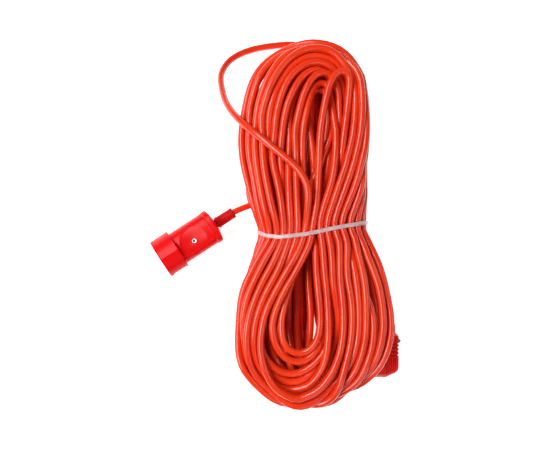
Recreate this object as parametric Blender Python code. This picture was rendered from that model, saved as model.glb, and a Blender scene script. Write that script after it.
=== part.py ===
"""Extension cord: a long round flex wound into a hank and tied round its waist, with a round
two-pin socket on one end and a right-angle two-pin plug on the other.

The hank lies flat on the surface z = 0, its long axis along Y. Sizes in this file are in
millimetres, and MM turns them into Blender's metres.
"""

import math

import bmesh
import bpy
import numpy as np
from mathutils import Vector

MM = 0.001
GAP = 0.3  # clearance between pieces that touch

# ---- cord ------------------------------------------------------------------------------------
CORD_R = 3.35
CORE_R = 1.2
TUBE_STEP = 13.0  # distance between the points of a cord's tube

# Outline of the hank seen from above, as (x, y) points down each side.
HANK_END_Y = 181.0
HANK_LEFT = [(24, 181), (8, 173), (-10, 158), (-31, 120), (-35.5, 90), (-30, 50), (-20.5, 12),
             (-19, -7), (-21.5, -26), (-31, -64), (-36.5, -108), (-30, -140), (-12, -161), (5, -172),
             (22, -181)]
HANK_RIGHT = [(44, 181), (61, 174), (79, 158), (94, 118), (95, 92), (91.5, 50), (91, 12),
              (92, -7), (96, -26), (106, -62), (114, -104), (107, -138), (88, -157), (66, -171),
              (46, -181)]
HANK_HEIGHT = 78.0
WAIST_HEIGHT = 72.0
WAIST_Y = -7.0
WAIST_REACH = 60.0  # how far from the waist its squeeze fades out
UNDERSIDE_CUT = 1.0  # how much of the section's round underside the surface flattens
HANK_SQUARENESS = 3.0
HANK_STATIONS = 26
HANK_SIDES = 40

# The loose turn: from the front of the waist, off the left side, and under the hank's far end.
LOOSE_ROUTE = [(28, -3, 77), (29.5, 15, 79.5), (29.5, 32, 80.5), (26, 42, 80.5), (19, 52, 80),
               (5.5, 64, 79.5), (-11, 77.5, 77), (-27, 92, 69), (-40, 107, 57), (-49.5, 124, 44),
               (-55.5, 146, 30), (-56, 159, 23), (-50, 174, 15), (-38.5, 185, 9),
               (-21, 193, 5), (4.5, 197.5, 3.6), (22, 198, 3.4), (38, 195, 3.4), (52, 187.5, 3.4),
               (60, 180, 3.4), (66, 170, 3.4)]

# ---- socket ----------------------------------------------------------------------------------
# Its own frame: origin at the middle of the mouth, x into the socket, z up.
SOCKET_MOUTH = (-120.0, -36.3, 21.5)
SOCKET_ANGLE = math.radians(33.0)
COLLAR_R = 21.4
COLLAR_LENGTH = 21.0
COLLAR_SQUARENESS = 2.1
EDGE = 0.8  # chamfer of the collar's and flange's edges
RECESS_R = 19.2
RECESS_DEPTH = 15.3
BODY_HALF_WIDTH = 17.9
BODY_HALF_HEIGHT = 16.5
BODY_END = 57.5
BODY_SQUARENESS = 2.8
FLANGE_HALF_WIDTH = 19.0
FLANGE_HALF_HEIGHT = 17.4
FLANGE_END = 64.5
DOME_END = 66.5
CAVITY = (19.6, 61.8)  # the hollow behind the contact carrier's front plate
CAVITY_HALF_WIDTH = 14.0
CAVITY_HALF_HEIGHT = 12.0
PIN_SPACING = 19.0
CLOSING_SCREW_X = 38.5
THUMB_PAD_R = 13.5
THUMB_PAD_DEPTH = 1.3
SLEEVE_NECK_R = 4.6
SLEEVE_START = 70.0
SLEEVE_END = 90.0
SLEEVE_R = 5.85
CLAMP_X = 54.0
CLAMP_POST_Y = 7.0  # the cord clamp's two posts and screws, each side of the cord
JACKET_END_X = 50.0
SOCKET_PIVOT = (-19.5, 23.2, 12.6)
LEAD_ROUTE_OUTSIDE = [(-24.0, 21.9, 14.4), (-34.0, 18.0, 18.6)]

# ---- plug ------------------------------------------------------------------------------------
# Its own frame: origin on the pin face midway between the pins, x the way the pins point,
# y towards its closed round end, z up.
PLUG_ORIGIN = (98.4, -142.0, 18.3)
PLUG_R = 18.0
PLUG_DEPTH = 26.0
PLUG_SPLIT_X = -13.0
PLUG_SHOULDER_Y = -27.0
PLUG_NECK_Y = -38.0
PLUG_NECK_HALF = 7.0
PLUG_WALL = 2.5
PIN_R = 2.4
PIN_LENGTH = 19.0
PLUG_SCREW_AT = (-20.5, 10.0)
PLUG_SCREW_TIP_X = -33.25  # the closing screws stand out behind the cover
PLUG_CLAMP_Y = -27.0
PLUG_CLAMP_POST_Z = 5.6  # the clamp's two posts and screws, each side of the cord
PLUG_JACKET_END_Y = -22.0
RIB_COUNT = 4
RIB_FIRST_Y = -25.5
RIB_PITCH = 4.6
PLUG_LEAD_STEP = 8.0
PLUG_LEAD_ROUTE = [(111.4, -120.0, 18.3), (111.4, -103.0, 18.3), (110.0, -93.0, 18.3),
                   (105.0, -83.0, 18.0)]

# ---- cable tie -------------------------------------------------------------------------------
TIE_Y = -2.5
TIE_WIDTH = 3.6
TIE_THICKNESS = 1.2
TIE_CLEARANCE = 1.0
TIE_GROOVE = 4.0  # how deep the strap bites into the hank
TIE_GROOVE_Y = -4.5
TIE_GROOVE_REACH = 9.0
TIE_TILT = 4.5  # how much higher in y the strap lies at its right side than at its left
TIE_SAG = 4.0   # how far the strap dips in y across the front


# ==== helpers =================================================================================

def clear_scene():
    for obj in list(bpy.data.objects):
        bpy.data.objects.remove(obj, do_unlink=True)


def make_material(name, colour, roughness, metallic=0.0):
    material = bpy.data.materials.new(name)
    material.use_nodes = True
    shader = material.node_tree.nodes["Principled BSDF"]
    shader.inputs["Base Color"].default_value = (*colour, 1.0)
    shader.inputs["Roughness"].default_value = roughness
    shader.inputs["Metallic"].default_value = metallic
    return material


def make_empty(name, location_mm, angle=0.0):
    empty = bpy.data.objects.new(name, None)
    empty.location = Vector(location_mm) * MM
    empty.rotation_euler = (0.0, 0.0, angle)
    bpy.context.scene.collection.objects.link(empty)
    return empty


def add_mesh(name, points_mm, faces, material=None, parent=None):
    """A mesh object from points in millimetres, with its normals turned outwards."""
    mesh = bpy.data.meshes.new(name)
    mesh.from_pydata([tuple(np.array(p) * MM) for p in points_mm], [], faces)
    shape = bmesh.new()
    shape.from_mesh(mesh)
    bmesh.ops.recalc_face_normals(shape, faces=shape.faces)
    shape.to_mesh(mesh)
    shape.free()
    mesh.shade_smooth()
    mesh.set_sharp_from_angle(angle=math.radians(35))
    obj = bpy.data.objects.new(name, mesh)
    if material:
        mesh.materials.append(material)
    if parent:
        obj.parent = parent
    bpy.context.scene.collection.objects.link(obj)
    return obj


def loft(name, rings, material=None, parent=None):
    """A closed solid through rings that all have the same number of points, with flat ends."""
    count = len(rings[0])
    points = [p for ring in rings for p in ring]
    faces = [tuple(range(count)), tuple(range(len(points) - count, len(points)))]
    for row in range(len(rings) - 1):
        for i in range(count):
            j = (i + 1) % count
            low = row * count
            faces.append((low + i, low + j, low + count + j, low + count + i))
    return add_mesh(name, points, faces, material, parent)


def closed_sweep(name, rings, material=None, parent=None):
    """A ring-shaped solid through sections that close on the first one again."""
    count = len(rings[0])
    total = len(rings) * count
    points = [p for ring in rings for p in ring]
    faces = []
    for row in range(len(rings)):
        for i in range(count):
            j = (i + 1) % count
            low = row * count
            faces.append((low + i, low + j, (low + count + j) % total, (low + count + i) % total))
    return add_mesh(name, points, faces, material, parent)


def ellipse_ring(centre, half_a, half_b, axis, sides):
    """Points of an ellipse square to the given axis: half_a and half_b along the other two."""
    ring = []
    for i in range(sides):
        angle = 2 * math.pi * i / sides
        a = half_a * math.cos(angle)
        b = half_b * math.sin(angle)
        offset = {"X": (0, a, b), "Y": (a, 0, b), "Z": (a, b, 0)}[axis]
        ring.append(tuple(np.add(centre, offset)))
    return ring


def turned(name, profile, axis="X", centre=(0, 0, 0), material=None, parent=None, sides=32):
    """A solid of revolution: profile holds (place along the axis, radius) pairs."""
    unit = {"X": (1, 0, 0), "Y": (0, 1, 0), "Z": (0, 0, 1)}[axis]
    rings = [ellipse_ring(np.add(centre, np.multiply(unit, place)), r, r, axis, sides)
             for place, r in profile]
    return loft(name, rings, material, parent)


def block(name, low, high, material=None, parent=None):
    """A box between two corners."""
    ring = [(low[0], low[1]), (high[0], low[1]), (high[0], high[1]), (low[0], high[1])]
    return loft(name, [[(x, y, z) for x, y in ring] for z in (low[2], high[2])], material, parent)


def combine(target, tool, operation):
    """Adds a Boolean of the tool to the target and hides the tool."""
    modifier = target.modifiers.new(tool.name, "BOOLEAN")
    modifier.operation = operation
    modifier.solver = "EXACT"
    modifier.object = tool
    tool.hide_render = True
    tool.display_type = "WIRE"


def cut(target, *tools):
    for tool in tools:
        combine(target, tool, "DIFFERENCE")


def join(target, *tools):
    for tool in tools:
        combine(target, tool, "UNION")


def smooth_route(route, step):
    """Evenly spaced points along a Catmull-Rom curve through the route's own points."""
    points = np.array(route, float)
    points = np.vstack([2 * points[0] - points[1], points, 2 * points[-1] - points[-2]])
    dense = []
    for i in range(1, len(points) - 2):
        a, b, c, d = points[i - 1:i + 3]
        for t in np.linspace(0, 1, 24, endpoint=False):
            dense.append(0.5 * (2 * b + (c - a) * t + (2 * a - 5 * b + 4 * c - d) * t**2
                                + (3 * b - a - 3 * c + d) * t**3))
    dense.append(points[-2])
    dense = np.array(dense)
    along = np.concatenate([[0], np.cumsum(np.linalg.norm(np.diff(dense, axis=0), axis=1))])
    places = np.linspace(0, along[-1], max(2, round(along[-1] / step) + 1))
    return np.column_stack([np.interp(places, along, dense[:, k]) for k in range(3)])


def tube(name, route, radius, material, parent=None, step=TUBE_STEP):
    """A cord's solid: a bevelled POLY curve with filled caps."""
    curve = bpy.data.curves.new(name, "CURVE")
    curve.dimensions = "3D"
    curve.bevel_depth = radius * MM
    curve.bevel_resolution = 2
    curve.use_fill_caps = True
    points = smooth_route(route, step)
    spline = curve.splines.new("POLY")
    spline.points.add(len(points) - 1)
    for point, place in zip(spline.points, points):
        point.co = (*(place * MM), 1.0)
    curve.materials.append(material)
    obj = bpy.data.objects.new(name, curve)
    if parent:
        obj.parent = parent
    bpy.context.scene.collection.objects.link(obj)
    return obj


def mesh_tube(name, route, radius, step, sides=12):
    """A cutter that follows a cord's route, as a mesh."""
    points = smooth_route(route, step)
    tangents = np.gradient(points, axis=0)
    rings = []
    for point, tangent in zip(points, tangents):
        tangent = tangent / np.linalg.norm(tangent)
        side = np.cross(tangent, (0, 0, 1))
        side = side / np.linalg.norm(side)
        up = np.cross(side, tangent)
        angles = [2 * math.pi * i / sides for i in range(sides)]
        rings.append([point + radius * (math.cos(a) * side + math.sin(a) * up) for a in angles])
    return loft(name, rings)


def screw(name, start, direction, head_r, head_length, shank_r, length, material, parent):
    """A slotted screw: its head's face is at start, and its shank runs along direction."""
    axis = "XYZ"[int(np.argmax(np.abs(direction)))]
    sign = float(np.sum(direction))
    profile = [(0, head_r), (sign * head_length, head_r), (sign * head_length, shank_r),
               (sign * length, shank_r)]
    obj = turned(name, profile, axis, start, material, parent, sides=20)
    low = np.array(start, float) - head_r - 1
    high = np.array(start, float) + head_r + 1
    k = "XYZ".index(axis)
    across = (k + 1) % 3
    low[across], high[across] = start[across] - 0.4, start[across] + 0.4
    ends = sorted((start[k] - sign, start[k] + sign * 0.5 * head_length))
    low[k], high[k] = ends
    cut(obj, block(name + "_slot", low, high, parent=parent))
    return obj


def hex_nut(name, centre, axis, across_flats, height, hole_r, material, parent):
    """A nut with its middle at centre."""
    corner = across_flats / math.sqrt(3)
    obj = turned(name, [(-height / 2, corner), (height / 2, corner)], axis, centre, material,
                 parent, sides=6)
    cut(obj, turned(name + "_hole", [(-height, hole_r), (height, hole_r)], axis, centre,
                    parent=parent, sides=20))
    return obj


# ==== hank ====================================================================================

def side_x(side, y):
    """The x of one side of the hank's outline at y."""
    dense = smooth_route([(x, place, 0) for x, place in side], 2.0)
    return float(np.interp(-y, -dense[:, 1], dense[:, 0]))


def hank_height(y):
    squeeze = math.exp(-((y - WAIST_Y) / WAIST_REACH) ** 2)
    return HANK_HEIGHT + (WAIST_HEIGHT - HANK_HEIGHT) * squeeze


def hank_section(y, margin=0.0):
    """The hank's cross-section at y, as (x, z) points round a squarish oval."""
    margin -= TIE_GROOVE * math.exp(-((y - TIE_GROOVE_Y) / TIE_GROOVE_REACH) ** 2)
    left, right = side_x(HANK_LEFT, y), side_x(HANK_RIGHT, y)
    height = hank_height(y)
    end_fade = math.sqrt(max(0.0, 1 - (abs(y) / HANK_END_Y) ** 12))
    half_height = 0.5 * height * (0.55 + 0.45 * end_fade) + margin
    half_width = 0.5 * (right - left) + margin
    points = []
    for i in range(HANK_SIDES):
        angle = 2 * math.pi * i / HANK_SIDES
        c, s = math.cos(angle), math.sin(angle)
        size = (abs(c) ** HANK_SQUARENESS + abs(s) ** HANK_SQUARENESS) ** (-1 / HANK_SQUARENESS)
        points.append((0.5 * (left + right) + half_width * size * c,
                       max(0.0, 0.5 * height - UNDERSIDE_CUT + half_height * size * s)))
    return points


def make_hank(material):
    angles = np.linspace(-math.pi / 2, math.pi / 2, HANK_STATIONS)
    stations = [HANK_END_Y * math.sin(angle) for angle in angles]
    stations = [y for y in stations if abs(y - TIE_GROOVE_Y) > 2.2 * TIE_GROOVE_REACH]
    stations += list(np.linspace(TIE_GROOVE_Y - 18, TIE_GROOVE_Y + 18, 11))
    rings = [[(x, y, z) for x, z in hank_section(y)] for y in sorted(stations)]
    hank = loft("hank_coil", rings, material)
    cut(hank, mesh_tube("loose_turn_space", LOOSE_ROUTE, CORD_R + 1.5 * GAP, TUBE_STEP))
    cut(hank, plug_space())
    cut(hank, turned("lead_space", [(-5.2, 1.0), (-3.6, 3.6), (0, 5.1), (3.6, 3.6), (5.2, 1.0)],
                     "Z", SOCKET_PIVOT, sides=20))
    return hank


def plug_space():
    """The hollow in the hank's right flank that holds the plug, its pins and its lead."""
    x, y, z = PLUG_ORIGIN
    space = block("plug_space", (x - PIN_LENGTH - 1.5, y - PLUG_R - 3, -1),
                  (x + 40, y - PLUG_NECK_Y + 0.5, z + PLUG_R + 1.2))
    join(space, mesh_tube("plug_lead_space", PLUG_LEAD_ROUTE, CORD_R + 1.5 * GAP, PLUG_LEAD_STEP))
    return space


# ==== cable tie ===============================================================================

def tie_y(angle):
    """The strap's place in y at an angle round the waist, counted from the right side."""
    front = max(0.0, math.sin(angle))
    return TIE_Y + TIE_TILT * math.cos(angle) - TIE_SAG * front


def make_tie(material):
    rings = []
    for i in range(HANK_SIDES):
        y = tie_y(2 * math.pi * i / HANK_SIDES)
        low, high = y - TIE_WIDTH / 2, y + TIE_WIDTH / 2
        ring = []
        for place, margin in ((low, 0), (low, TIE_THICKNESS), (high, TIE_THICKNESS), (high, 0)):
            x, z = hank_section(place, TIE_CLEARANCE + margin)[i]
            ring.append((x, place, z))
        rings.append(ring)
    tie = closed_sweep("cable_tie", rings, material)
    x, y, z = rings[round(0.625 * HANK_SIDES)][1]
    join(tie, block("tie_head", (x - 4.2, y - 0.8, z - 4.2), (x + 0.5, y + 4.4, z + 0.5)),
         block("tie_tail", (x - 3.4, y + 0.2, z - 6.0), (x - 2.2, y + 3.4, z - 4.0)))
    return tie


# ==== socket ==================================================================================

def oval_ring(x, half_width, half_height, squareness, sides=40):
    """A section square to x: a circle at squareness 2, squarer as it grows."""
    ring = []
    for i in range(sides):
        angle = 2 * math.pi * i / sides
        c, s = math.cos(angle), math.sin(angle)
        size = (abs(c) ** squareness + abs(s) ** squareness) ** (-1 / squareness)
        ring.append((x, half_width * size * c, half_height * size * s))
    return ring


def socket_outside(name, parent):
    """The whole housing's outer shape: collar, body, flange and a low dome."""
    rings = []
    for x, r in ((0, COLLAR_R - EDGE), (EDGE, COLLAR_R), (COLLAR_LENGTH - EDGE, COLLAR_R),
                 (COLLAR_LENGTH, COLLAR_R - EDGE)):
        rings.append(oval_ring(x, r, r, COLLAR_SQUARENESS))
    for x, width, height in ((COLLAR_LENGTH + 0.01, BODY_HALF_WIDTH, BODY_HALF_HEIGHT),
                             (BODY_END, BODY_HALF_WIDTH, BODY_HALF_HEIGHT),
                             (BODY_END + EDGE, FLANGE_HALF_WIDTH, FLANGE_HALF_HEIGHT),
                             (FLANGE_END - 2.5, FLANGE_HALF_WIDTH, FLANGE_HALF_HEIGHT),
                             (FLANGE_END, 0.88 * FLANGE_HALF_WIDTH, 0.88 * FLANGE_HALF_HEIGHT),
                             (DOME_END, 0.55 * FLANGE_HALF_WIDTH, 0.55 * FLANGE_HALF_HEIGHT)):
        rings.append(oval_ring(x, width, height, BODY_SQUARENESS))
    return loft(name, rings, parent=parent)


def socket_hollow(name, upper, parent):
    """Everything inside a shell: the recess, the carrier's seat and the wiring space, less the
    pillar round the closing screw and, in the lower shell, the posts for the cord clamp."""
    hollow = turned(name, [(-1, RECESS_R), (CAVITY[0] + 0.4, RECESS_R)], parent=parent, sides=48)
    join(hollow, block(name + "_wiring", (CAVITY[0] - 1, -CAVITY_HALF_WIDTH, -CAVITY_HALF_HEIGHT),
                       (CAVITY[1], CAVITY_HALF_WIDTH, CAVITY_HALF_HEIGHT), parent=parent))
    join(hollow, turned(name + "_cord_way", [(CAVITY[1] - 1, SLEEVE_NECK_R + GAP),
                                             (DOME_END + 1, SLEEVE_NECK_R + GAP)],
                        parent=parent, sides=24))
    reach = CAVITY_HALF_HEIGHT + 1
    cut(hollow, turned(name + "_pillar", [(-reach, 4.0), (reach, 4.0)], "Z",
                       (CLOSING_SCREW_X, 0, 0), parent=parent, sides=24))
    for side in () if upper else (-1, 1):
        cut(hollow, turned(f"{name}_clamp_post_{side}", [(-reach, 2.4), (3.0, 2.4)], "Z",
                           (CLAMP_X, side * CLAMP_POST_Y, 0), parent=parent, sides=20))
    return hollow


def socket_shell(name, upper, material, parent):
    """Half of the socket's housing, above or below the split plane through its axis."""
    shell = socket_outside(name, parent)
    shell.data.materials.append(material)
    low, high = (GAP / 2, 40) if upper else (-40, -GAP / 2)
    keep = block(name + "_half", (-5, -30, low), (100, 30, high), parent=parent)
    combine(shell, keep, "INTERSECT")
    cut(shell, socket_hollow(name + "_hollow", upper, parent))
    cut(shell, turned(name + "_screw_hole", [(-30, 1.8), (30, 1.8)], "Z", (CLOSING_SCREW_X, 0, 0),
                      parent=parent, sides=24))
    if upper:
        pad_floor = BODY_HALF_HEIGHT - THUMB_PAD_DEPTH
        pad = [(pad_floor, THUMB_PAD_R - 1.2), (30, THUMB_PAD_R + 12)]
        cut(shell, turned(name + "_thumb_pad", pad, "Z", (CLOSING_SCREW_X, 0, 0), parent=parent,
                          sides=48))
        cut(shell, turned(name + "_head_seat", [(pad_floor - 2.3, 3.1), (30, 3.1)], "Z",
                          (CLOSING_SCREW_X, 0, 0), parent=parent, sides=24))
    else:
        cut(shell, turned(name + "_nut_seat", [(-30, 3.7), (-BODY_HALF_HEIGHT + 3.2, 3.7)], "Z",
                          (CLOSING_SCREW_X, 0, 0), parent=parent, sides=6))
        for side in (-1, 1):
            cut(shell, turned(f"{name}_clamp_hole_{side}", [(-12.5, 1.5), (5, 1.5)], "Z",
                              (CLAMP_X, side * CLAMP_POST_Y, 0), parent=parent, sides=16))
    return shell


def contact_carrier(material, parent):
    """The insulating block that holds the contacts, with the plate seen in the recess."""
    carrier = turned("socket_contact_carrier", [(RECESS_DEPTH + GAP, RECESS_R - GAP),
                                                (CAVITY[0] - GAP, RECESS_R - GAP)],
                     material=material, parent=parent, sides=48)
    join(carrier, block("carrier_block", (CAVITY[0] - 1, -13.6, -6.5), (31.0, 13.6, 6.5),
                        parent=parent))
    for side in (-1, 1):
        centre = (0, side * PIN_SPACING / 2, 0)
        cut(carrier, turned(f"carrier_pin_hole_{side}", [(10, 2.75), (25, 2.75)], "X", centre,
                            parent=parent, sides=24),
            turned(f"carrier_contact_seat_{side}", [(18.2, 3.7), (40, 3.7)], "X", centre,
                   parent=parent, sides=24))
    return carrier


def socket_contact(name, side, material, parent):
    """A split spring tube that grips a plug's pin, with its terminal block behind."""
    y = side * PIN_SPACING / 2
    contact = turned(name, [(18.6, 3.35), (31.5, 3.35)], "X", (0, y, 0), material, parent, 24)
    cut(contact, turned(name + "_bore", [(17, 2.5), (30.5, 2.5)], "X", (0, y, 0), parent=parent,
                        sides=24),
        block(name + "_split", (17, y - 0.4, 0), (28, y + 0.4, 5), parent=parent))
    join(contact, block(name + "_terminal", (31.2, y - 3, -3), (40, y + 3, 3), parent=parent))
    cut(contact, turned(name + "_wire_hole", [(34, CORE_R + 0.35), (41, CORE_R + 0.35)], "X",
                        (0, y, 0), parent=parent, sides=16),
        turned(name + "_screw_hole", [(0, 1.6), (5, 1.6)], "Z", (36, y, 0), parent=parent,
               sides=16))
    return contact


def make_socket(materials, parent):
    red, brass, steel = materials["red_plastic"], materials["brass"], materials["steel"]
    socket_shell("socket_upper_shell", True, red, parent)
    socket_shell("socket_lower_shell", False, red, parent)
    contact_carrier(materials["white_insulator"], parent)
    pad_floor = BODY_HALF_HEIGHT - THUMB_PAD_DEPTH
    screw("socket_closing_screw", (CLOSING_SCREW_X, 0, pad_floor - 0.3), (0, 0, -1), 2.7, 1.6,
          1.4, 29.5, steel, parent)
    hex_nut("socket_closing_nut", (CLOSING_SCREW_X, 0, -BODY_HALF_HEIGHT + 1.6), "Z", 5.5, 2.4,
            1.7, steel, parent)
    for label, side in (("live", 1), ("neutral", -1)):
        y = side * PIN_SPACING / 2
        socket_contact("socket_contact_" + label, side, brass, parent)
        screw("socket_terminal_screw_" + label, (36, y, 7.0), (0, 0, -1), 2.4, 1.6, 1.3,
              5.2, steel, parent)
        core = [(JACKET_END_X - 0.8, side * 1.5, 0), (48.0, side * 2.2, 0), (45.0, side * 6.6, 0),
                (42.5, side * 9.1, 0), (38.0, y, 0)]
        tube("socket_core_" + label, core, CORE_R, materials["core_" + label], parent, 2.4)
        screw(f"socket_clamp_screw_{label}", (CLAMP_X, side * CLAMP_POST_Y, 8.0), (0, 0, -1), 2.2, 1.5,
              1.2, 16.0, steel, parent)
    clamp = block("socket_cord_clamp", (CLAMP_X - 2.5, -9.5, CORD_R + GAP),
                  (CLAMP_X + 2.5, 9.5, 6.2), materials["white_insulator"], parent)
    for side in (-1, 1):
        cut(clamp, turned(f"clamp_hole_{side}", [(0, 1.5), (9, 1.5)], "Z",
                          (CLAMP_X, side * CLAMP_POST_Y, 0), parent=parent, sides=16))


def make_sleeve(material, parent):
    """The flexible bend relief: a flange held inside the shells, a neck and a tapered sleeve."""
    profile = [(58.6, 7.0), (60.6, 7.0), (60.6, SLEEVE_NECK_R), (SLEEVE_START, SLEEVE_NECK_R),
               (SLEEVE_START + 0.01, SLEEVE_R), (SLEEVE_END, SLEEVE_R - 0.35)]
    sleeve = turned("socket_bend_sleeve", profile, material=material, parent=parent, sides=28)
    cut(sleeve, turned("sleeve_bore", [(50, CORD_R + GAP), (95, CORD_R + GAP)], parent=parent,
                       sides=24))
    return sleeve


def from_socket(point):
    """A point of the socket's own frame, in the pivot's frame."""
    c, s = math.cos(SOCKET_ANGLE), math.sin(SOCKET_ANGLE)
    x, y, z = point
    turned_point = (c * x - s * y, s * x + c * y, z)
    return np.array(SOCKET_MOUTH) - np.array(SOCKET_PIVOT) + turned_point


def make_socket_lead(material, pivot):
    outside = [np.array(p) - np.array(SOCKET_PIVOT) for p in LEAD_ROUTE_OUTSIDE]
    inside = [from_socket((x, 0, 0)) for x in (SLEEVE_END + 2, SLEEVE_END - 4, 78, 70, 60,
                                               JACKET_END_X)]
    route = [np.zeros(3), *outside, *inside]
    return tube("socket_lead", route, CORD_R, material, pivot, 7.0)


# ==== plug ====================================================================================

def plug_outline(inset=0.0):
    """The plug's outline as (y, z) points: a round closed end and a shoulder down to the neck."""
    r = PLUG_R - inset
    end = [(r * math.sin(a), r * math.cos(a)) for a in np.linspace(0, math.pi, 21)]
    neck_y = PLUG_NECK_Y + inset
    neck = PLUG_NECK_HALF - inset
    shoulder = PLUG_SHOULDER_Y + 0.4 * inset
    low_side = [(shoulder, -r), (shoulder - 3, -r + 1.8), (neck_y + 4, -neck - 0.6),
                (neck_y, -neck)]
    high_side = [(y, -z) for y, z in reversed(low_side)]
    return end + low_side + high_side


def plug_prism(name, x_low, x_high, inset, parent, bevel=0.0):
    """The plug's outline pushed along x, with its outer edge at x_low rounded by bevel."""
    steps = [(x_low, inset + bevel), (x_high, inset)]
    if bevel:
        steps.insert(1, (x_low + bevel, inset))
    rings = [[(x, y, z) for y, z in plug_outline(edge)] for x, edge in steps]
    return loft(name, rings, parent=parent)


def plug_ribs(name, parent):
    """Cutters for the grip grooves across the plug's two narrow sides."""
    tools = []
    for side in (-1, 1):
        for i in range(RIB_COUNT):
            y = RIB_FIRST_Y + RIB_PITCH * i
            low_z, high_z = sorted((side * (PLUG_R - 0.9), side * (PLUG_R + 2)))
            tools.append(block(f"{name}_{side}_{i}", (-40, y - 0.8, low_z), (5, y + 0.8, high_z),
                               parent=parent))
    return tools


def plug_half(name, cover, material, parent):
    """The base with the pin face, or the cover behind it."""
    back, split = -PLUG_DEPTH, PLUG_SPLIT_X
    if cover:
        half = plug_prism(name, back, split - GAP / 2, 0.0, parent, bevel=2.2)
        hollow = plug_prism(name + "_hollow", back + PLUG_WALL, split + 1, PLUG_WALL, parent)
    else:
        half = plug_prism(name, split + GAP / 2, 0.0, 0.0, parent)
        hollow = plug_prism(name + "_hollow", split - 1, -3.0, PLUG_WALL, parent)
    half.data.materials.append(material)
    y, z = PLUG_SCREW_AT
    for side in (-1, 1):
        cut(hollow, turned(f"{name}_pillar_{side}", [(back - 1, 3.6), (1, 3.6)], "X",
                           (0, y, side * z), parent=parent, sides=24))
        if not cover:
            post = [(PLUG_SPLIT_X - 1.5, 2.0), (1, 2.0)]
            cut(hollow, turned(f"{name}_clamp_post_{side}", post, "X",
                               (0, PLUG_CLAMP_Y, side * PLUG_CLAMP_POST_Z), parent=parent,
                               sides=16))
    cut(half, hollow)
    cut(half, turned(name + "_cord_way", [(PLUG_NECK_Y - 2, CORD_R + GAP),
                                          (PLUG_NECK_Y + 8, CORD_R + GAP)], "Y",
                     (split, 0, 0), parent=parent, sides=24))
    for side in (-1, 1):
        cut(half, turned(f"{name}_screw_hole_{side}", [(back - 1, 1.7), (1, 1.7)], "X",
                         (0, y, side * z), parent=parent, sides=20))
        if cover:
            cut(half, turned(f"{name}_nut_seat_{side}", [(back - 1, 3.6), (back + 1.6, 3.6)], "X",
                             (0, y, side * z), parent=parent, sides=6))
        else:
            cut(half, turned(f"{name}_head_seat_{side}", [(-2.4, 3.0), (1, 3.0)], "X",
                             (0, y, side * z), parent=parent, sides=20),
                turned(f"{name}_pin_hole_{side}", [(-5, PIN_R + GAP), (1, PIN_R + GAP)], "X",
                       (0, 0, side * PIN_SPACING / 2), parent=parent, sides=20),
                turned(f"{name}_clamp_hole_{side}", [(-16, 1.2), (-5, 1.2)], "X",
                       (0, PLUG_CLAMP_Y, side * PLUG_CLAMP_POST_Z), parent=parent, sides=16))
    cut(half, *plug_ribs(name + "_rib", parent))
    return half


def plug_pin(name, side, material, parent):
    z = side * PIN_SPACING / 2
    pin = turned(name, [(-4, PIN_R), (PIN_LENGTH - 1.2, PIN_R), (PIN_LENGTH - 0.3, PIN_R - 0.8),
                        (PIN_LENGTH, PIN_R - 1.4)], "X", (0, 0, z), material, parent, 20)
    join(pin, block(name + "_terminal", (-11.5, -3.2, z - 3), (-3.3, 3.2, z + 3), parent=parent))
    cut(pin, turned(name + "_wire_hole", [(-5, CORE_R + 0.35), (1, CORE_R + 0.35)], "Y",
                    (-8.2, 0, z), parent=parent, sides=16),
        turned(name + "_screw_hole", [(-12.5, 1.6), (-8.2, 1.6)], "X", (0, 0, z), parent=parent,
               sides=16))
    return pin


def make_plug(materials, parent):
    red, brass, steel = materials["red_plastic"], materials["brass"], materials["steel"]
    plug_half("plug_base", False, red, parent)
    plug_half("plug_cover", True, red, parent)
    y, z = PLUG_SCREW_AT
    for label, side in (("live", 1), ("neutral", -1)):
        pin_z = side * PIN_SPACING / 2
        plug_pin("plug_pin_" + label, side, brass, parent)
        screw("plug_terminal_screw_" + label, (-15.3, 0, pin_z), (1, 0, 0), 2.4, 1.6, 1.3, 5.2,
              steel, parent)
        core = [(PLUG_SPLIT_X, PLUG_JACKET_END_Y + 0.8, side * 1.5), (-12.5, -18.0, side * 2.6),
                (-10.6, -12.0, side * 6.0), (-8.8, -7.0, side * 9.0), (-8.2, -1.5, pin_z)]
        tube("plug_core_" + label, core, CORE_R, materials["core_" + label], parent, 2.6)
        number = 1 if side > 0 else 2
        screw(f"plug_closing_screw_{number}", (-0.4, y, side * z), (-1, 0, 0), 2.6, 1.6, 1.35,
              -PLUG_SCREW_TIP_X - 0.4, steel, parent)
        hex_nut(f"plug_closing_nut_{number}", (-PLUG_DEPTH + 0.2, y, side * z), "X", 5.5, 2.2,
                1.65, steel, parent)
        screw(f"plug_clamp_screw_{number}", (-20.6, PLUG_CLAMP_Y, side * PLUG_CLAMP_POST_Z),
              (1, 0, 0), 1.7, 1.3, 0.9, 13.0, steel, parent)
    clamp = block("plug_cord_clamp", (-19.1, PLUG_CLAMP_Y - 2.2, -7.6),
                  (PLUG_SPLIT_X - CORD_R - GAP, PLUG_CLAMP_Y + 2.2, 7.6),
                  materials["white_insulator"], parent)
    for side in (-1, 1):
        cut(clamp, turned(f"plug_clamp_hole_{side}", [(-25, 1.2), (-10, 1.2)], "X",
                          (0, PLUG_CLAMP_Y, side * PLUG_CLAMP_POST_Z), parent=parent, sides=16))


# ==== whole ===================================================================================

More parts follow.
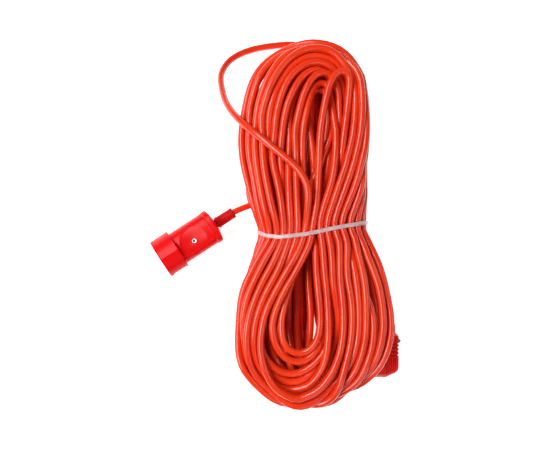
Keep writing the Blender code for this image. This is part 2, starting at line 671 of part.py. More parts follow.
def make_materials():
    return {
        "cord": make_material("cord_pvc", (0.80, 0.045, 0.012), 0.32),
        "red_plastic": make_material("red_plastic", (0.78, 0.004, 0.006), 0.22),
        "sleeve": make_material("sleeve_pvc", (0.45, 0.004, 0.008), 0.45),
        "white_insulator": make_material("white_insulator", (0.75, 0.73, 0.68), 0.5),
        "nylon": make_material("tie_nylon", (0.85, 0.80, 0.80), 0.4),
        "brass": make_material("brass", (0.72, 0.50, 0.20), 0.3, 1.0),
        "steel": make_material("steel", (0.70, 0.70, 0.70), 0.3, 1.0),
        "core_live": make_material("core_brown", (0.16, 0.05, 0.02), 0.4),
        "core_neutral": make_material("core_blue", (0.02, 0.08, 0.45), 0.4),
    }


def main():
    clear_scene()
    materials = make_materials()
    make_hank(materials["cord"])
    make_tie(materials["nylon"])
    tube("loose_loop", LOOSE_ROUTE, CORD_R, materials["cord"])
    tube("plug_lead", PLUG_LEAD_ROUTE, CORD_R, materials["cord"], step=PLUG_LEAD_STEP)

    pivot = make_empty("socket_pivot", SOCKET_PIVOT)
    mouth = np.array(SOCKET_MOUTH) - np.array(SOCKET_PIVOT)
    socket_frame = make_empty("socket_frame", mouth, SOCKET_ANGLE)
    socket_frame.parent = pivot
    make_socket(materials, socket_frame)
    make_sleeve(materials["sleeve"], socket_frame)
    make_socket_lead(materials["cord"], pivot)

    plug_frame = make_empty("plug_frame", PLUG_ORIGIN, math.pi)
    make_plug(materials, plug_frame)


main()
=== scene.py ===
"""The looks of the tied extension cord: its camera, light, wound cord, fittings and materials.

The cord's winding is worked out in millimetres and turned into metres when a mesh is made.
"""

import math

import bmesh
import bpy
import numpy as np
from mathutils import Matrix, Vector


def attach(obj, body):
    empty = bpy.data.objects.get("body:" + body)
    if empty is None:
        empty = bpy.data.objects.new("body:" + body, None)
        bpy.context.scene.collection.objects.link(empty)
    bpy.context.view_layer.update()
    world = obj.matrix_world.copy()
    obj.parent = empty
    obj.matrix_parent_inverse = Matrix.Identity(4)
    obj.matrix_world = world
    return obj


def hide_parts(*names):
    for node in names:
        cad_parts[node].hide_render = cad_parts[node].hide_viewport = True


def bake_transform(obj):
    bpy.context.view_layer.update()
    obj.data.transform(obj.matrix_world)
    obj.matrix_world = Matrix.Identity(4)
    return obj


MM = 0.001

# ---- cord, as in the frame -------------------------------------------------------------------
CORD_D = 6.7
CORD_R = CORD_D / 2

LOOSE_ROUTE = [(28, -3, 77), (29.5, 15, 79.5), (29.5, 32, 80.5), (26, 42, 80.5), (19, 52, 80),
               (5.5, 64, 79.5), (-11, 77.5, 77), (-27, 92, 69), (-40, 107, 57), (-49.5, 124, 44),
               (-55.5, 146, 30), (-56, 159, 23), (-50, 174, 15), (-38.5, 185, 9),
               (-21, 193, 5), (4.5, 197.5, 3.6), (22, 198, 3.4), (38, 195, 3.4), (52, 187.5, 3.4),
               (60, 180, 3.4), (66, 170, 3.4)]
# On from there, hidden under the hank, to where the socket's lead comes out.
UNDER_ROUTE = [(69, 155, 3.4), (69, 135, 3.4), (64, 112, 3.4), (54, 90, 3.4), (40, 68, 3.4),
               (23, 48, 4.0), (6, 34, 6.5), (-8, 27, 10.0), (-19.5, 23.2, 12.6)]
PLUG_LEAD_ROUTE = [(111.4, -120.0, 18.3), (111.4, -103.0, 18.3), (110.0, -93.0, 18.3),
                   (105.0, -83.0, 18.0)]
# On from there, under the hank, to the start of the first turn.
FIRST_ROUTE = [(97, -66, 14), (84, -46, 8), (68, -22, 4.5), (52, 2, 3.4), (42, 24, 3.4)]

SOCKET_MOUTH = np.array([-120.0, -36.3, 21.5])
SOCKET_ANGLE = math.radians(33.0)
SOCKET_PIVOT = (-19.5, 23.2, 12.6)
LEAD_OUTSIDE = [(-24.0, 21.9, 14.4), (-34.0, 18.0, 18.6)]
LEAD_INSIDE_X = (92.0, 86.0, 78.0, 70.0, 60.0, 50.0)  # along the socket's own axis

# ---- hank ------------------------------------------------------------------------------------
TURNS_PER_LAYER = 7
LAYERS = 8  # below the turns that are laid one by one
LAYER_PITCH = 6.3
FIRST_Z = 10.6  # of the lowest layer, above the stretches that lie under the hank
TOP_Z = 72.0  # of the middle of the uppermost cords
SIGHT_Z = 74.0
DEPTH_PITCH = 6.8
SEGMENT = 9.0  # millimetres between the points of the winding while it settles
MESH_STEP = 6.6  # and in the final tube
TUBE_SIDES = 12
LEAD_STEP = 2.2
LEAD_SIDES = 20
LEAD_RIGID_X = 88  # a place along the socket's axis; its point is worked out but nothing uses it
WINDING_SEED = 11
FIRST_START = 0.055  # how far round the first turn the loops' winding begins
DRIFT_ACROSS = (0.055, 0.045)  # how far turns wander in the fan, as shares of its width
DRIFT_ALONG = 4.0  # and along the hank at its ends

# Matched points round the outermost and the innermost turn, clockwise from the left of the waist.
OUTER_TURN = [(-15.7, -7), (-18, 12), (-26, 45), (-32, 90), (-28, 120), (-15, 147), (5, 165),
              (34, 173), (56, 165), (71, 149), (80.5, 120), (83.5, 92), (85, 50), (87, 12),
              (89.5, -7), (97, -26), (108, -62), (113.5, -104), (102.5, -132), (80, -146),
              (57, -159), (34, -168.5), (6, -165), (-12, -157), (-25.5, -138), (-31.5, -107),
              (-28, -64), (-18, -26)]
INNER_TURN = [(32, -7), (34, 12), (38, 40), (41.5, 75), (44.5, 102), (48, 118), (52, 132),
              (56.5, 141), (64, 134), (65.5, 121), (64, 105), (58, 78), (50, 42), (43, 12),
              (41, -7), (39.5, -24), (40.5, -58), (44.5, -86), (50, -106), (56, -118), (58.5, -130),
              (53, -139.5), (44, -138), (39.5, -127), (38, -110), (35.5, -90), (32.5, -60),
              (31.5, -26)]
# The uppermost turns, one by one, as (x, y, depth): x and y where the camera sees them against the
# level SIGHT_Z, depth in cords below the top. Each goes up the left leg, over the top and down the
# right leg, round the bottom and back to the waist, where the next one starts.
FRONT_TURNS = [
    # low outer turn, the outermost on the right
    [(20, -7, 3), (8, 20, 3), (-7, 50, 3), (-20, 85, 3.2), (-22, 112, 3.3), (-10, 140, 3),
     (10, 157, 2.6), (35, 161.2, 2.2), (58, 157, 2.2), (74, 140, 2.4), (80.8, 115, 2.6),
     (82.6, 92, 2.6), (82, 70, 2.2), (80.2, 48, 1.8), (81.5, 30, 1.6), (80.3, 0, 2.2), (84, -12, 2.2),
     (96.3, -40, 1.5), (103.6, -70, 1.1), (106, -90, 1), (103.5, -110, 1), (95, -129.5, 1.3),
     (78, -144, 2), (50, -154, 3), (32, -155, 3.4), (14, -152, 3.6), (-4, -143, 3.6), (-16, -128, 3.6),
     (-22, -108, 3.6), (-22, -85, 3.6), (-17, -60, 3.4), (-10, -35, 3.2), (-3, -15, 3)],
    # the one inside it, second from the right
    [(3, 5, 2.7), (0, 30, 2.6), (-8, 70, 2.8), (-10, 100, 2.8), (0, 130, 2.6), (20, 152, 2.4),
     (40, 157.7, 2.2), (60, 150, 2.2), (76, 130, 2.2), (80.2, 105, 2.2), (80.8, 85, 2), (80.2, 65, 1.9),
     (79.3, 45, 1.7), (80, 30, 1.3), (75, 5, 1.3), (75.5, -7, 1.5), (79.5, -15, 1.2), (83.8, -27, 0.9),
     (94.3, -55, 0.4), (98.7, -85, 0.2), (97, -105, 0.2), (91, -123, 0.4), (80, -138.5, 0.9),
     (58, -150.5, 2), (40, -154, 2.4), (22, -153, 2.6), (5, -147, 2.8), (-8, -136, 2.9),
     (-16, -120, 2.9), (-19, -100, 2.9), (-17, -78, 2.8), (-11, -55, 2.6), (-5, -32, 2.3),
     (-2, -12, 1.8)],
    [(-1, 10, 1.3), (-4, 30, 1.2), (-7, 50, 1.1), (-7.5, 70, 0.8), (-6, 86, 0.3), (-6.5, 101, 0),
     (0, 125, 0), (11, 143, 0), (30, 154.5, 0), (46, 153.8, 0), (59, 145.5, 0.3), (67, 128, 1),
     (67, 95, 1.3), (64, 70, 1.3), (59, 45, 1.3), (55, 20, 1.3), (54, -7, 1.4), (58, -25, 1.4),
     (77, -54, 1.2), (88.3, -80, 0.5), (89.5, -103, 0.4), (86, -122, 0.5), (76.5, -139.5, 1),
     (54, -152.5, 2), (38, -155, 2.5), (22, -151, 2.8), (9, -142, 2.9), (1, -125, 2.8), (2, -100, 2.6),
     (9, -68, 2.3), (20, -40, 2.1), (31, -20, 2)],
    # in the dark upper opening, and the innermost arc of the lower end
    [(37, 0, 1.9), (37, 20, 1.8), (36.5, 40, 1.5), (34.5, 68, 1.1), (30, 95, 1.3), (30, 108, 1.5),
     (33, 118, 1.7), (39, 124, 1.9), (46, 122, 2), (51, 112, 1.9), (54, 98, 1.7), (53, 84, 1.4),
     (49, 73, 1.2), (38.5, 49, 1.3), (34, 40, 1.3), (31, 12, 1.6), (33, -6, 1.7), (37, -17, 1.4),
     (37.2, -27, 0.8), (38.2, -49, 0.3), (40.3, -70, 0.1), (41.2, -90, 0.1), (37.8, -107, 0.1),
     (27, -116.7, 0.1), (13.5, -114.5, 0.1), (8.5, -108.5, 0.2), (5.7, -92, 0.4), (8.5, -73, 0.7),
     (16, -50, 1.1), (18, -38, 1.3), (16, -22, 1.4)],
    [(9, 12, 1.3), (6.3, 42, 0.7), (5, 68, 0.3), (9, 101, 0.1), (15, 119, 0.1), (24.5, 135, 0.1),
     (37, 143, 0.2), (50, 137.5, 0.9), (56, 115, 1.6), (56, 98, 1.6), (53, 75, 1.6), (49, 50, 1.5),
     (46, 25, 1.5), (45, 0, 1.6), (47, -25, 1.8), (48, -50, 1.9), (48, -75, 1.9), (45, -110, 1.6),
     (38, -129.5, 0.9), (25, -141.3, 0.7), (9, -142.7, 0.7), (-6, -133.5, 0.8), (-15, -113, 1.1),
     (-15, -86, 1.4), (-4, -54, 1.4), (5, -38, 1.4), (21, -12, 1.4)],
    [(25, 8, 1.4), (25.6, 38, 1.2), (24.7, 67, 0.4), (26.5, 93, 0.2), (34, 122.5, 0.6),
     (39, 129.5, 0.9), (44.5, 130, 1.2), (48.5, 124, 1.3), (51.5, 106, 0.8), (55.3, 86, 0.1),
     (55.2, 66, 0), (52.3, 42, 0), (46.5, 21, 0), (42, 3, 0.1), (43.5, -17, 0), (45.3, -45, 0),
     (47.4, -63, 0), (48.6, -92, 0), (47.5, -111, 0), (43.3, -129, 0), (32.5, -144.5, 0.3),
     (14, -150, 0.8), (-3, -142, 1), (-15, -127, 0.8), (-18.3, -117, 0.5), (-19.5, -96, 0.2),
     (-15, -78, 0.2), (-7.5, -60, 0.1), (1.7, -43.5, 0.1), (9, -27, 0.1)],
    [(12.5, -7, 0.1), (14, 5, 0.1), (13.2, 18, 0.1), (12.2, 46, 0.2), (13, 75, 0.8), (14, 104, 1),
     (24, 129, 1.1), (32, 137, 1.3), (40, 139, 1.6), (47, 136, 2), (51, 126, 2.2), (52.5, 110, 2.2),
     (52, 85, 2), (50, 60, 1.9), (48, 35, 1.8), (48, 10, 1.7), (49, -10, 1.5), (51, -45, 1.1),
     (52, -65, 1.1), (52, -85, 1), (46, -113, 0.8), (35, -127.3, 0.6), (21, -135, 0.5),
     (7, -134.3, 0.5), (-6, -125.5, 0.6), (-14, -109, 0.8), (-13.5, -88, 1), (-5, -65, 1),
     (7, -42, 0.8), (16, -19, 0.4)],
    [(18.5, -7, 0), (20, 18, 0), (19.3, 46, 0.2), (19, 74, 0), (18.5, 88, 0), (26.3, 119, 0),
     (35.5, 135, 0.1), (41, 138.8, 0.3), (46.5, 138.5, 0.7), (51, 134, 1.1), (57.5, 118, 1),
     (58.5, 96, 1), (57.5, 80, 1.3), (54, 60, 1.6), (50, 38, 1.6), (46, 15, 1.5), (44, -7, 1.5),
     (45, -25, 1.4), (46, -45, 1.3), (47, -65, 1.2), (45.5, -95, 0.8), (38.5, -112, 0.3),
     (26.5, -124, 0.1), (11.5, -122.8, 0.1), (0.8, -109.5, 0.1), (-2.5, -92, 0.1), (1.8, -75, 0),
     (9.3, -59, 0), (18.7, -43, 0), (30, -19, 0)],
    # the small tight loop over the opening, and the left lobe at the bottom
    [(32.5, -7, -0.1), (37.5, 16, -0.1), (38.5, 28, 0), (40, 56, 0), (41.2, 82, -0.4),
     (45.3, 110, -0.8), (51, 130, -0.8), (57, 138.5, -0.7), (62.5, 141, -0.6), (67, 138.2, -0.4),
     (68, 131, -0.2), (66, 108, 0.1), (61.5, 77, 0.4), (57.5, 55, 1.2), (61, 20, 1.4), (67, -7, 1.3),
     (69.3, -27, 0.7), (73, -43, 0.3), (74.7, -62, 0.1), (75.6, -94, 0.1), (72.7, -114, 0.1),
     (65.3, -132, 0.3), (53, -148, 0.4), (36, -160.3, 0.6), (18, -163.3, 0.7), (3.5, -156, 0.9),
     (-10, -144, 0.7), (-20, -130, 0.5), (-25, -111, 0.4), (-24.7, -91, 0.3), (-20.5, -73, 0.3),
     (-10.5, -50, 0.2), (-2, -35, 0.1), (4.6, -19, 0)],
    [(6.5, -7, 0), (8, 4, 0), (2.8, 37, 0), (-2.3, 60, 0.1), (-1, 84, 0.1), (0, 97, 0), (5.3, 117, 0),
     (13.5, 135, 0), (28, 147, 0), (45, 147.5, 0.1), (58, 137, 0.7), (62, 127, 1.2), (63, 95, 1.4),
     (60, 75, 1.4), (56, 50, 1.3), (53, 28, 1.2), (51.5, 8, 1.1), (52, -10, 1.2), (55, -30, 1.2),
     (60, -50, 0.9), (64.3, -65, 0.5), (65.5, -80, 0.4), (64.8, -102, 0.4), (60, -121.5, 0.4),
     (50.5, -140.5, 0.4), (34, -156.3, 0.5), (15, -159, 1.3), (-8, -147, 1.7), (-24, -124, 1.4),
     (-29, -100, 0.9), (-27, -70, 0.6), (-19.3, -51, 0.5), (-3, -19, 0.3)],
    [(-1.5, -7, 0.3), (0, 4, 0.2), (-5, 27, 0), (-10.5, 57, 0), (-11.3, 86, 0), (-11.5, 99, 0),
     (-3, 127, 0), (9, 146, 0), (17, 154, 0), (27, 158.8, 0), (37, 160, 0), (55, 155.5, 0),
     (68.5, 140.5, 0), (74, 120, 0), (72.5, 85, 0), (66.5, 62, 0), (63.5, 50, 0), (52.8, 20, 0),
     (48.3, 2, 0), (51.3, -16, 0.1), (53, -49, 0), (55, -70, 0.6), (54.5, -95, 1.2), (49, -124, 1.3),
     (43, -137, 1.4), (33, -147, 1.6), (20, -152, 1.8), (6, -150.5, 1.9), (-6, -143.5, 1.9),
     (-16, -132, 1.9), (-23, -119, 1.9), (-27, -105, 1.9), (-28, -90, 1.8), (-26, -70, 1.8),
     (-22, -50, 1.7), (-15.5, -20, 1.6)],
    [(-12.5, -7, 1.6), (-12.5, 5, 1.5), (-15, 18, 1.5), (-20.5, 50, 1.3), (-23.7, 66, 1.2),
     (-24, 93, 1.2), (-22, 110, 1.3), (-13.5, 136, 1.3), (0, 151, 1.3), (12, 157.7, 1.4),
     (30, 160.5, 1.5), (48, 159.1, 1.6), (64, 150, 1.7), (76, 133, 1.7), (80.2, 112, 1.6),
     (81.4, 92, 1.5), (80.8, 72, 1.2), (79.3, 52, 0.9), (79, 36, 0.7), (70.5, 8, 0.6), (70.5, -4, 0.8),
     (73.3, -13, 0.7), (74.5, -23, 0.5), (81.5, -52, 0.2), (83, -84, 0.1), (80.3, -113, 0.2),
     (69.5, -139.5, 0.6), (52, -153.5, 1.5), (38, -157.5, 1.9), (22, -157, 2.2), (6, -151.5, 2.4),
     (-7, -142, 2.5), (-15, -128, 2.6), (-19, -110, 2.6), (-20, -90, 2.6), (-20, -65, 2.6),
     (-19, -40, 2.7)],
    # the outermost on the left, a little apart from the rest
    [(-15.5, -7, 3), (-16, 5, 2.8), (-23, 32, 2.4), (-29.5, 60, 2.1), (-30.7, 88, 2), (-26.7, 110, 2),
     (-20, 132, 2), (-8, 148.5, 2), (12, 158.8, 1.9), (38, 161.6, 1.3), (61, 155, 1), (76.6, 136, 0.8),
     (79.6, 124, 0.7), (82, 97, 0.5), (80.5, 73, 0.3), (76.6, 48, 0.1), (73.5, 37, 0), (62.3, 5, 0.2),
     (66.5, -15, 0.3), (65.3, -35, 0.2), (66.3, -51, 0.1), (69.5, -67, 0.1), (70.5, -91, 0.1),
     (67.3, -115, 0.1), (57, -147, 0.3), (47, -159.5, 0.7), (40, -162.3, 0.9), (25, -160.5, 1.5),
     (5, -156.5, 1.6), (-12, -147.5, 1.3), (-25, -131, 1.2), (-30.5, -111, 1.2), (-31.3, -91, 1.2),
     (-29.8, -71, 1.2), (-25, -51, 1.1), (-10, -19, 1)],
    # the last turn, ending where the loose loop leaves the tie
    [(-8, -7, 0.9), (-7, 5, 0.7), (-9.5, 16, 0.6), (-14.5, 42, 0.5), (-18.6, 72, 0.5), (-17.3, 99, 0.4),
     (-8.5, 128, 0.1), (2, 146, 0.1), (10, 154.5, 0.2), (20, 159.4, 0.4), (32, 161.6, 0.5),
     (43, 161.1, 0.4), (54, 157.7, 0.3), (63, 151.5, 0.2), (75.5, 135, 0.1), (79, 113, 0),
     (78.7, 88, 0), (75, 65, 0), (63, 33, 0), (54.5, 4, 0.1), (59, -16, 0.1), (59.3, -50, 0),
     (62.2, -80, -0.1), (62, -99, -0.3), (59, -117, -0.5), (52, -134.5, -0.7), (39.5, -150.5, -0.8),
     (22, -158.5, -0.7), (14, -157.3, -0.7), (-1, -147.5, -0.7), (-9.5, -131, -0.6),
     (-13.3, -111, -0.4), (-11.5, -91, -0.2), (-6.5, -74, 0), (9.8, -43, 0), (17.7, -27, 0),
     (21.5, -19, 0)],
]
FRONT_HOLD = 0.08  # how strongly the laid turns are drawn back to their places, each step
SINK = 0.08  # how far the free runs sink in the first step
SINK_SHARE = 0.75  # of the steps, after which they no longer sink
SETTLE_STEPS = 260
PAIRS_EVERY = 6  # steps between two searches for neighbouring runs
PUSH = 1.3  # how much of the mean push a point follows
LENGTH_PULL = 0.45
BEND_PULL = 0.175
BEND_KEPT = 0.8  # the share of its own bend that a stretch keeps
PLUG_BOXES = [((98.4, -160.0, 0.0), (124.4, -104.0, 36.3)),
              ((79.0, -145.0, 6.0), (98.4, -139.0, 31.0))]
# The strap's y at places across the hank.
STRAP_LINE = [(-30, -6.5), (-16, -7), (-7, -10), (4, -11), (28, -8.3), (58, -2), (84, 2.2), (110, 2.5)]
WAIST_SLOPE = 0.0105  # how quickly the runs may spread, for each millimetre from the strap
WAIST_CENTRE = (36.5, 36.0)
WAIST_HALF = (53.0, 36.5)
WAIST_POWER = 3.2  # of its section, where 2 is an oval
WAIST_NEAR = 3.0  # how far from the strap the runs may start to spread
WAIST_REACH = 30.0  # and how far the strap's grip is felt

# ---- socket, in its own frame: origin at the middle of the mouth, x into it, z up -------------
COLLAR_R = 21.4
COLLAR_END = 21.0
RECESS_R = 19.2
RECESS_END = 19.6
BODY_HALF = (17.8, 16.5)
BODY_END = 60.2
FLANGE_HALF = (18.6, 17.6)
FLANGE_END = 65.4
DOME_RISE = 3.6
NECK_R = 4.9
CAVITY_HALF = (14.6, 12.2)
CAVITY_END = 62.0
SHELL_GAP = 0.15  # half of the split between the two shells
RIDGE_ANGLE = math.radians(14)  # slope of the collar's two upper facets
LEAN = (0.26, -0.1)  # how far the outside leans in x and y for each millimetre of height
PAD_CENTRE = (43.2, -3.8)
PAD_R = 14.0
PAD_DEPTH = 1.3
PAD_STEP = 0.55
SCREW_R = 2.6
SHELL_SIDES = 96  # round each half
SEAT_Z = 12.6  # of the closing screw's seat in the upper shell
SCREW_TOP = 15.3
NUT_SEAT = (38.5, -13.4, 4.0)  # its x, its depth and its radius, in the lower shell
CUT_FAR = 30.0  # well outside the shells, for the cutters' ends

# ---- plug, in its own frame: origin on the pin face, x the way the pins point -----------------
PLUG_ORIGIN = np.array([98.4, -142.0, 18.3])
PLUG_R = 18.0
PLUG_BACK = -27.2
PLUG_SPLIT = -13.0
PLUG_SHOULDER_Y = -28.8
PLUG_NECK_Y = -38.0
PLUG_NECK_HALF = 7.0
PLUG_END_SLANT = 5.2  # how much shorter the closed end is at the back
RIBS_Y = [-21.5 + 3.9 * i for i in range(4)]
RIB_HALF = 0.95
GROOVE_DEPTH = 1.9
FINS_X = [-15.0 - 2.2 * i for i in range(5)]
FIN_HALF = 0.45
FINS_FROM_Y = -7.5
SLANT_X = (-16.5, 9.5)  # where the closed end's slant starts, and over how much of x it grows
PLUG_WALL = 2.5
PIN_Z = 9.5  # of the two pins, to each side
NUBS = [(-22.4, 10.0), (-22.4, -10.0)]

# ---- cable tie -------------------------------------------------------------------------------
STRAP_WIDTH = 3.8
STRAP_THICKNESS = 1.2
STRAP_POINTS = 180
STRAP_SAMPLE = 1.5  # step along the cord when looking for the runs under the strap
STRAP_MARGIN = 0.8

# ---- camera ----------------------------------------------------------------------------------
CAMERA_HEIGHT = 0.42
FOCAL_PIXELS = 379.0
FRAME_WIDTH = 550.0
SENSOR_WIDTH = 36.0

WORLD_STRENGTH = 0.08
FLOOR_GLOW = 0.88
# name, place, power in watts, width and length
LIGHTS = [("left", (-0.54, 0.10, 0.84), 11.6, 1.20, 0.36),
          ("right", (0.65, -0.1, 0.6), 1.1, 0.60, 0.25),
          ("front", (0.3, -0.7, 0.8), 1.1, 0.5, 0.5)]


# ==== geometry helpers ========================================================================

def catmull(points, per_span, closed=False):
    """A Catmull-Rom curve through the points, with per_span samples in each span."""
    points = np.array(points, float)
    if closed:
        padded = np.vstack([points[-1], points, points[:2]])
    else:
        padded = np.vstack([2 * points[0] - points[1], points, 2 * points[-1] - points[-2]])
    a, b, c, d = padded[:-3], padded[1:-2], padded[2:-1], padded[3:]
    t = np.linspace(0, 1, per_span, endpoint=False)[None, :, None]
    a, b, c, d = a[:, None], b[:, None], c[:, None], d[:, None]
    curve = 0.5 * (2 * b + (c - a) * t + (2 * a - 5 * b + 4 * c - d) * t**2
                   + (3 * b - a - 3 * c + d) * t**3)
    curve = curve.reshape(-1, points.shape[1])
    return curve if closed else np.vstack([curve, points[-1]])


def length_of(points):
    return float(np.linalg.norm(np.diff(points, axis=0), axis=1).sum())


def resample(points, step):
    """Evenly spaced points along a dense line."""
    along = np.concatenate([[0], np.cumsum(np.linalg.norm(np.diff(points, axis=0), axis=1))])
    places = np.linspace(0, along[-1], max(2, round(along[-1] / step) + 1))
    return np.column_stack([np.interp(places, along, points[:, k]) for k in range(3)])


# ==== the winding =============================================================================

def ease(share):
    """A smooth step from 0 to 1."""
    return share * share * (3 - 2 * share)


def first_layout(rng):
    """The lower turns as wound: flat spirals, layer on layer, out and in again."""
    outer = catmull(OUTER_TURN, 8, closed=True)
    inner = catmull(INNER_TURN, 8, closed=True)
    per_turn = len(outer)
    turns = TURNS_PER_LAYER * LAYERS
    points = np.arange(int(FIRST_START * per_turn), turns * per_turn)
    tau = points / per_turn
    index = points % per_turn
    layer = np.floor(tau / TURNS_PER_LAYER)
    place = tau / TURNS_PER_LAYER - layer
    outward = np.where(layer % 2 == 0, place, 1 - place)

    turn = np.floor(tau).astype(int)
    phase = 2 * math.pi * (tau - turn)
    swing = rng.uniform(-1, 1, (3, turns + 1))
    mix = ease(tau - turn)

    def wander(row):
        return swing[row][turn] * (1 - mix) + swing[row][turn + 1] * mix

    fan = 1 - np.abs(np.cos(phase))**6
    across, double = DRIFT_ACROSS
    outward = outward + across * fan * wander(0) + double * fan * wander(1) * np.sin(2 * phase)
    outward = np.clip(outward, 0.0, 1.0)[:, None]
    plan = inner[index] * (1 - outward) + outer[index] * outward
    plan[:, 1] += DRIFT_ALONG * wander(2) * np.sin(phase) * np.abs(np.sin(phase))

    # from one layer to the next over the last and the first part of a turn
    half_climb = 0.35 / TURNS_PER_LAYER
    climb = 0.7 / TURNS_PER_LAYER
    late = np.where(layer < LAYERS - 1, np.clip((place - (1 - half_climb)) / climb, 0, 1), 0)
    early = np.where(layer > 0, np.clip((half_climb - place) / climb, 0, 1), 0)
    return np.column_stack([plan, FIRST_Z + LAYER_PITCH * (layer + ease(late) - ease(early))])


def sight(points):
    """Real places of points given by where the camera sees them and how deep they lie."""
    seen = np.array(points, float)
    height = TOP_Z - DEPTH_PITCH * seen[:, 2]
    scale = (CAMERA_HEIGHT / MM - height) / (CAMERA_HEIGHT / MM - SIGHT_Z)
    return np.column_stack([seen[:, 0] * scale, seen[:, 1] * scale, height])


def bridge(before, start, end, after):
    """The smooth way from start to end, its directions taken from the points beyond them."""
    return catmull([before, start, end, after], 12)[12:24]


def whole_line(rng):
    """The cord from the plug to the socket lead's pivot, and how firmly each point is held."""
    start = catmull(PLUG_LEAD_ROUTE + FIRST_ROUTE, 12)
    wound = first_layout(rng)
    front = sight([point for turn in FRONT_TURNS for point in turn])
    end = np.array(LOOSE_ROUTE + UNDER_ROUTE, float)
    laid = catmull(np.vstack([front[1:], end]), 8)
    lead_in = bridge(start[-8], start[-1], wound[6], wound[14])
    lead_on = bridge(wound[-16], wound[-8], laid[8], laid[16])
    parts = [resample(part, SEGMENT) for part in (
        start, np.vstack([start[-1], lead_in, wound[6:-8], lead_on, laid[8]]), laid[8:])]
    line = np.vstack([parts[0][:-1], parts[1], parts[2][1:]])
    hold = np.zeros(len(line))
    hold[:len(parts[0]) - 4] = 1
    first_laid = len(line) - len(parts[2])
    hold[first_laid:] = FRONT_HOLD
    loose = round(length_of(catmull(end, 12)) / SEGMENT)
    hold[-loose + 3:] = 1
    return line, hold


def close_pairs(middles, reach):
    """Pairs (i, j), i < j, of points within reach of each other, by sorting them into cells."""
    cell = np.floor(middles / reach).astype(np.int64)
    cell -= cell.min(axis=0) - 1
    size = cell.max(axis=0) + 2
    key = (cell[:, 0] * size[1] + cell[:, 1]) * size[2] + cell[:, 2]
    order = np.argsort(key, kind="stable")
    ordered = key[order]
    found = []
    half = [(0, 0, 0)] + [(x, y, z) for x in (-1, 0, 1) for y in (-1, 0, 1) for z in (-1, 0, 1)
                          if (x, y, z) > (0, 0, 0)]
    for x, y, z in half:
        other = key + (x * size[1] + y) * size[2] + z
        low = np.searchsorted(ordered, other, "left")
        high = np.searchsorted(ordered, other, "right")
        counts = high - low
        first = np.repeat(np.arange(len(key)), counts)
        offset = np.arange(counts.sum()) - np.repeat(np.cumsum(counts) - counts, counts)
        second = order[np.repeat(low, counts) + offset]
        if (x, y, z) == (0, 0, 0):
            keep = first < second
            first, second = first[keep], second[keep]
        found.append(np.column_stack([first, second]))
    pairs = np.vstack(found)
    near = np.linalg.norm(middles[pairs[:, 0]] - middles[pairs[:, 1]], axis=1) < reach
    pairs = pairs[near]
    return pairs[np.abs(pairs[:, 0] - pairs[:, 1]) > 2]


def gather(count, index, values):
    """The sum of the moves that go to each point."""
    return np.column_stack([np.bincount(index, values[:, k], count) for k in range(3)])


def push_apart(line, free, pairs, diameter):
    """Moves crossing or touching stretches apart until they lie a diameter from each other."""
    i, j = pairs[:, 0], pairs[:, 1]
    p, q = line[i], line[j]
    u, v = line[i + 1] - p, line[j + 1] - q
    w = p - q
    a = np.einsum("ij,ij->i", u, u)
    b = np.einsum("ij,ij->i", u, v)
    c = np.einsum("ij,ij->i", v, v)
    d = np.einsum("ij,ij->i", u, w)
    e = np.einsum("ij,ij->i", v, w)
    det = a * c - b * b
    s = np.where(det > 1e-3 * a * c, (b * e - c * d) / np.maximum(det, 1e-9), 0.5)
    s = np.clip(s, 0, 1)
    t = np.clip((b * s + e) / c, 0, 1)
    s = np.clip((b * t - d) / a, 0, 1)
    gap = w + s[:, None] * u - t[:, None] * v
    distance = np.maximum(np.linalg.norm(gap, axis=1), 1e-6)
    depth = diameter - distance
    hit = depth > 0
    i, j, s, t = i[hit], j[hit], s[hit], t[hit]
    move = gap[hit] / distance[hit][:, None] * (0.5 * depth[hit])[:, None]
    index = np.concatenate([i, i + 1, j, j + 1])
    share = np.concatenate([1 - s, s, 1 - t, t])
    sign = np.concatenate([np.ones(2 * len(i)), -np.ones(2 * len(i))])
    moves = np.tile(move, (4, 1)) * (share * sign)[:, None]
    total = gather(len(line), index, moves)
    weight = np.bincount(index, share, len(line))
    return line + free * total * (PUSH / np.maximum(weight, 1.0))[:, None]


def tie_y(x):
    """The strap's own y at a place across the hank."""
    places, levels = zip(*STRAP_LINE)
    return np.interp(x, places, levels)


def hold_in_waist(line, free):
    """Presses the runs at the waist inside the strap's oval."""
    away = np.abs(line[:, 1] - tie_y(line[:, 0]))
    limit = 1 + WAIST_SLOPE * np.maximum(0, away - WAIST_NEAR)
    x = (line[:, 0] - WAIST_CENTRE[0]) / (WAIST_HALF[0] - CORD_R)
    z = (line[:, 2] - WAIST_CENTRE[1]) / (WAIST_HALF[1] - CORD_R)
    size = (np.abs(x) ** WAIST_POWER + np.abs(z) ** WAIST_POWER) ** (1 / WAIST_POWER)
    over = (size > limit) & (away < WAIST_REACH)
    pull = np.where(over, limit / np.maximum(size, 1e-6) - 1, 0) * free[:, 0]
    line[:, 0] += pull * (line[:, 0] - WAIST_CENTRE[0])
    line[:, 2] += pull * (line[:, 2] - WAIST_CENTRE[1])


def keep_off_box(line, free, low, high):
    """Pushes points out of a box, by the nearer of its left and upper faces."""
    low, high = np.array(low) - CORD_R, np.array(high) + CORD_R
    inside = np.all((line > low) & (line < high), axis=1)
    if not inside.any():
        return
    p = line[inside]
    ways = np.column_stack([p[:, 0] - low[0], high[2] - p[:, 2]])
    nearest = np.argmin(ways, axis=1)
    moved = p.copy()
    moved[nearest == 0, 0] = low[0]
    moved[nearest == 1, 2] = high[2]
    line[inside] = np.where(free[inside] > 0, moved, p)


def bends(line):
    """How far each inner point lies from the middle of its neighbours."""
    return line[1:-1] - 0.5 * (line[:-2] + line[2:])


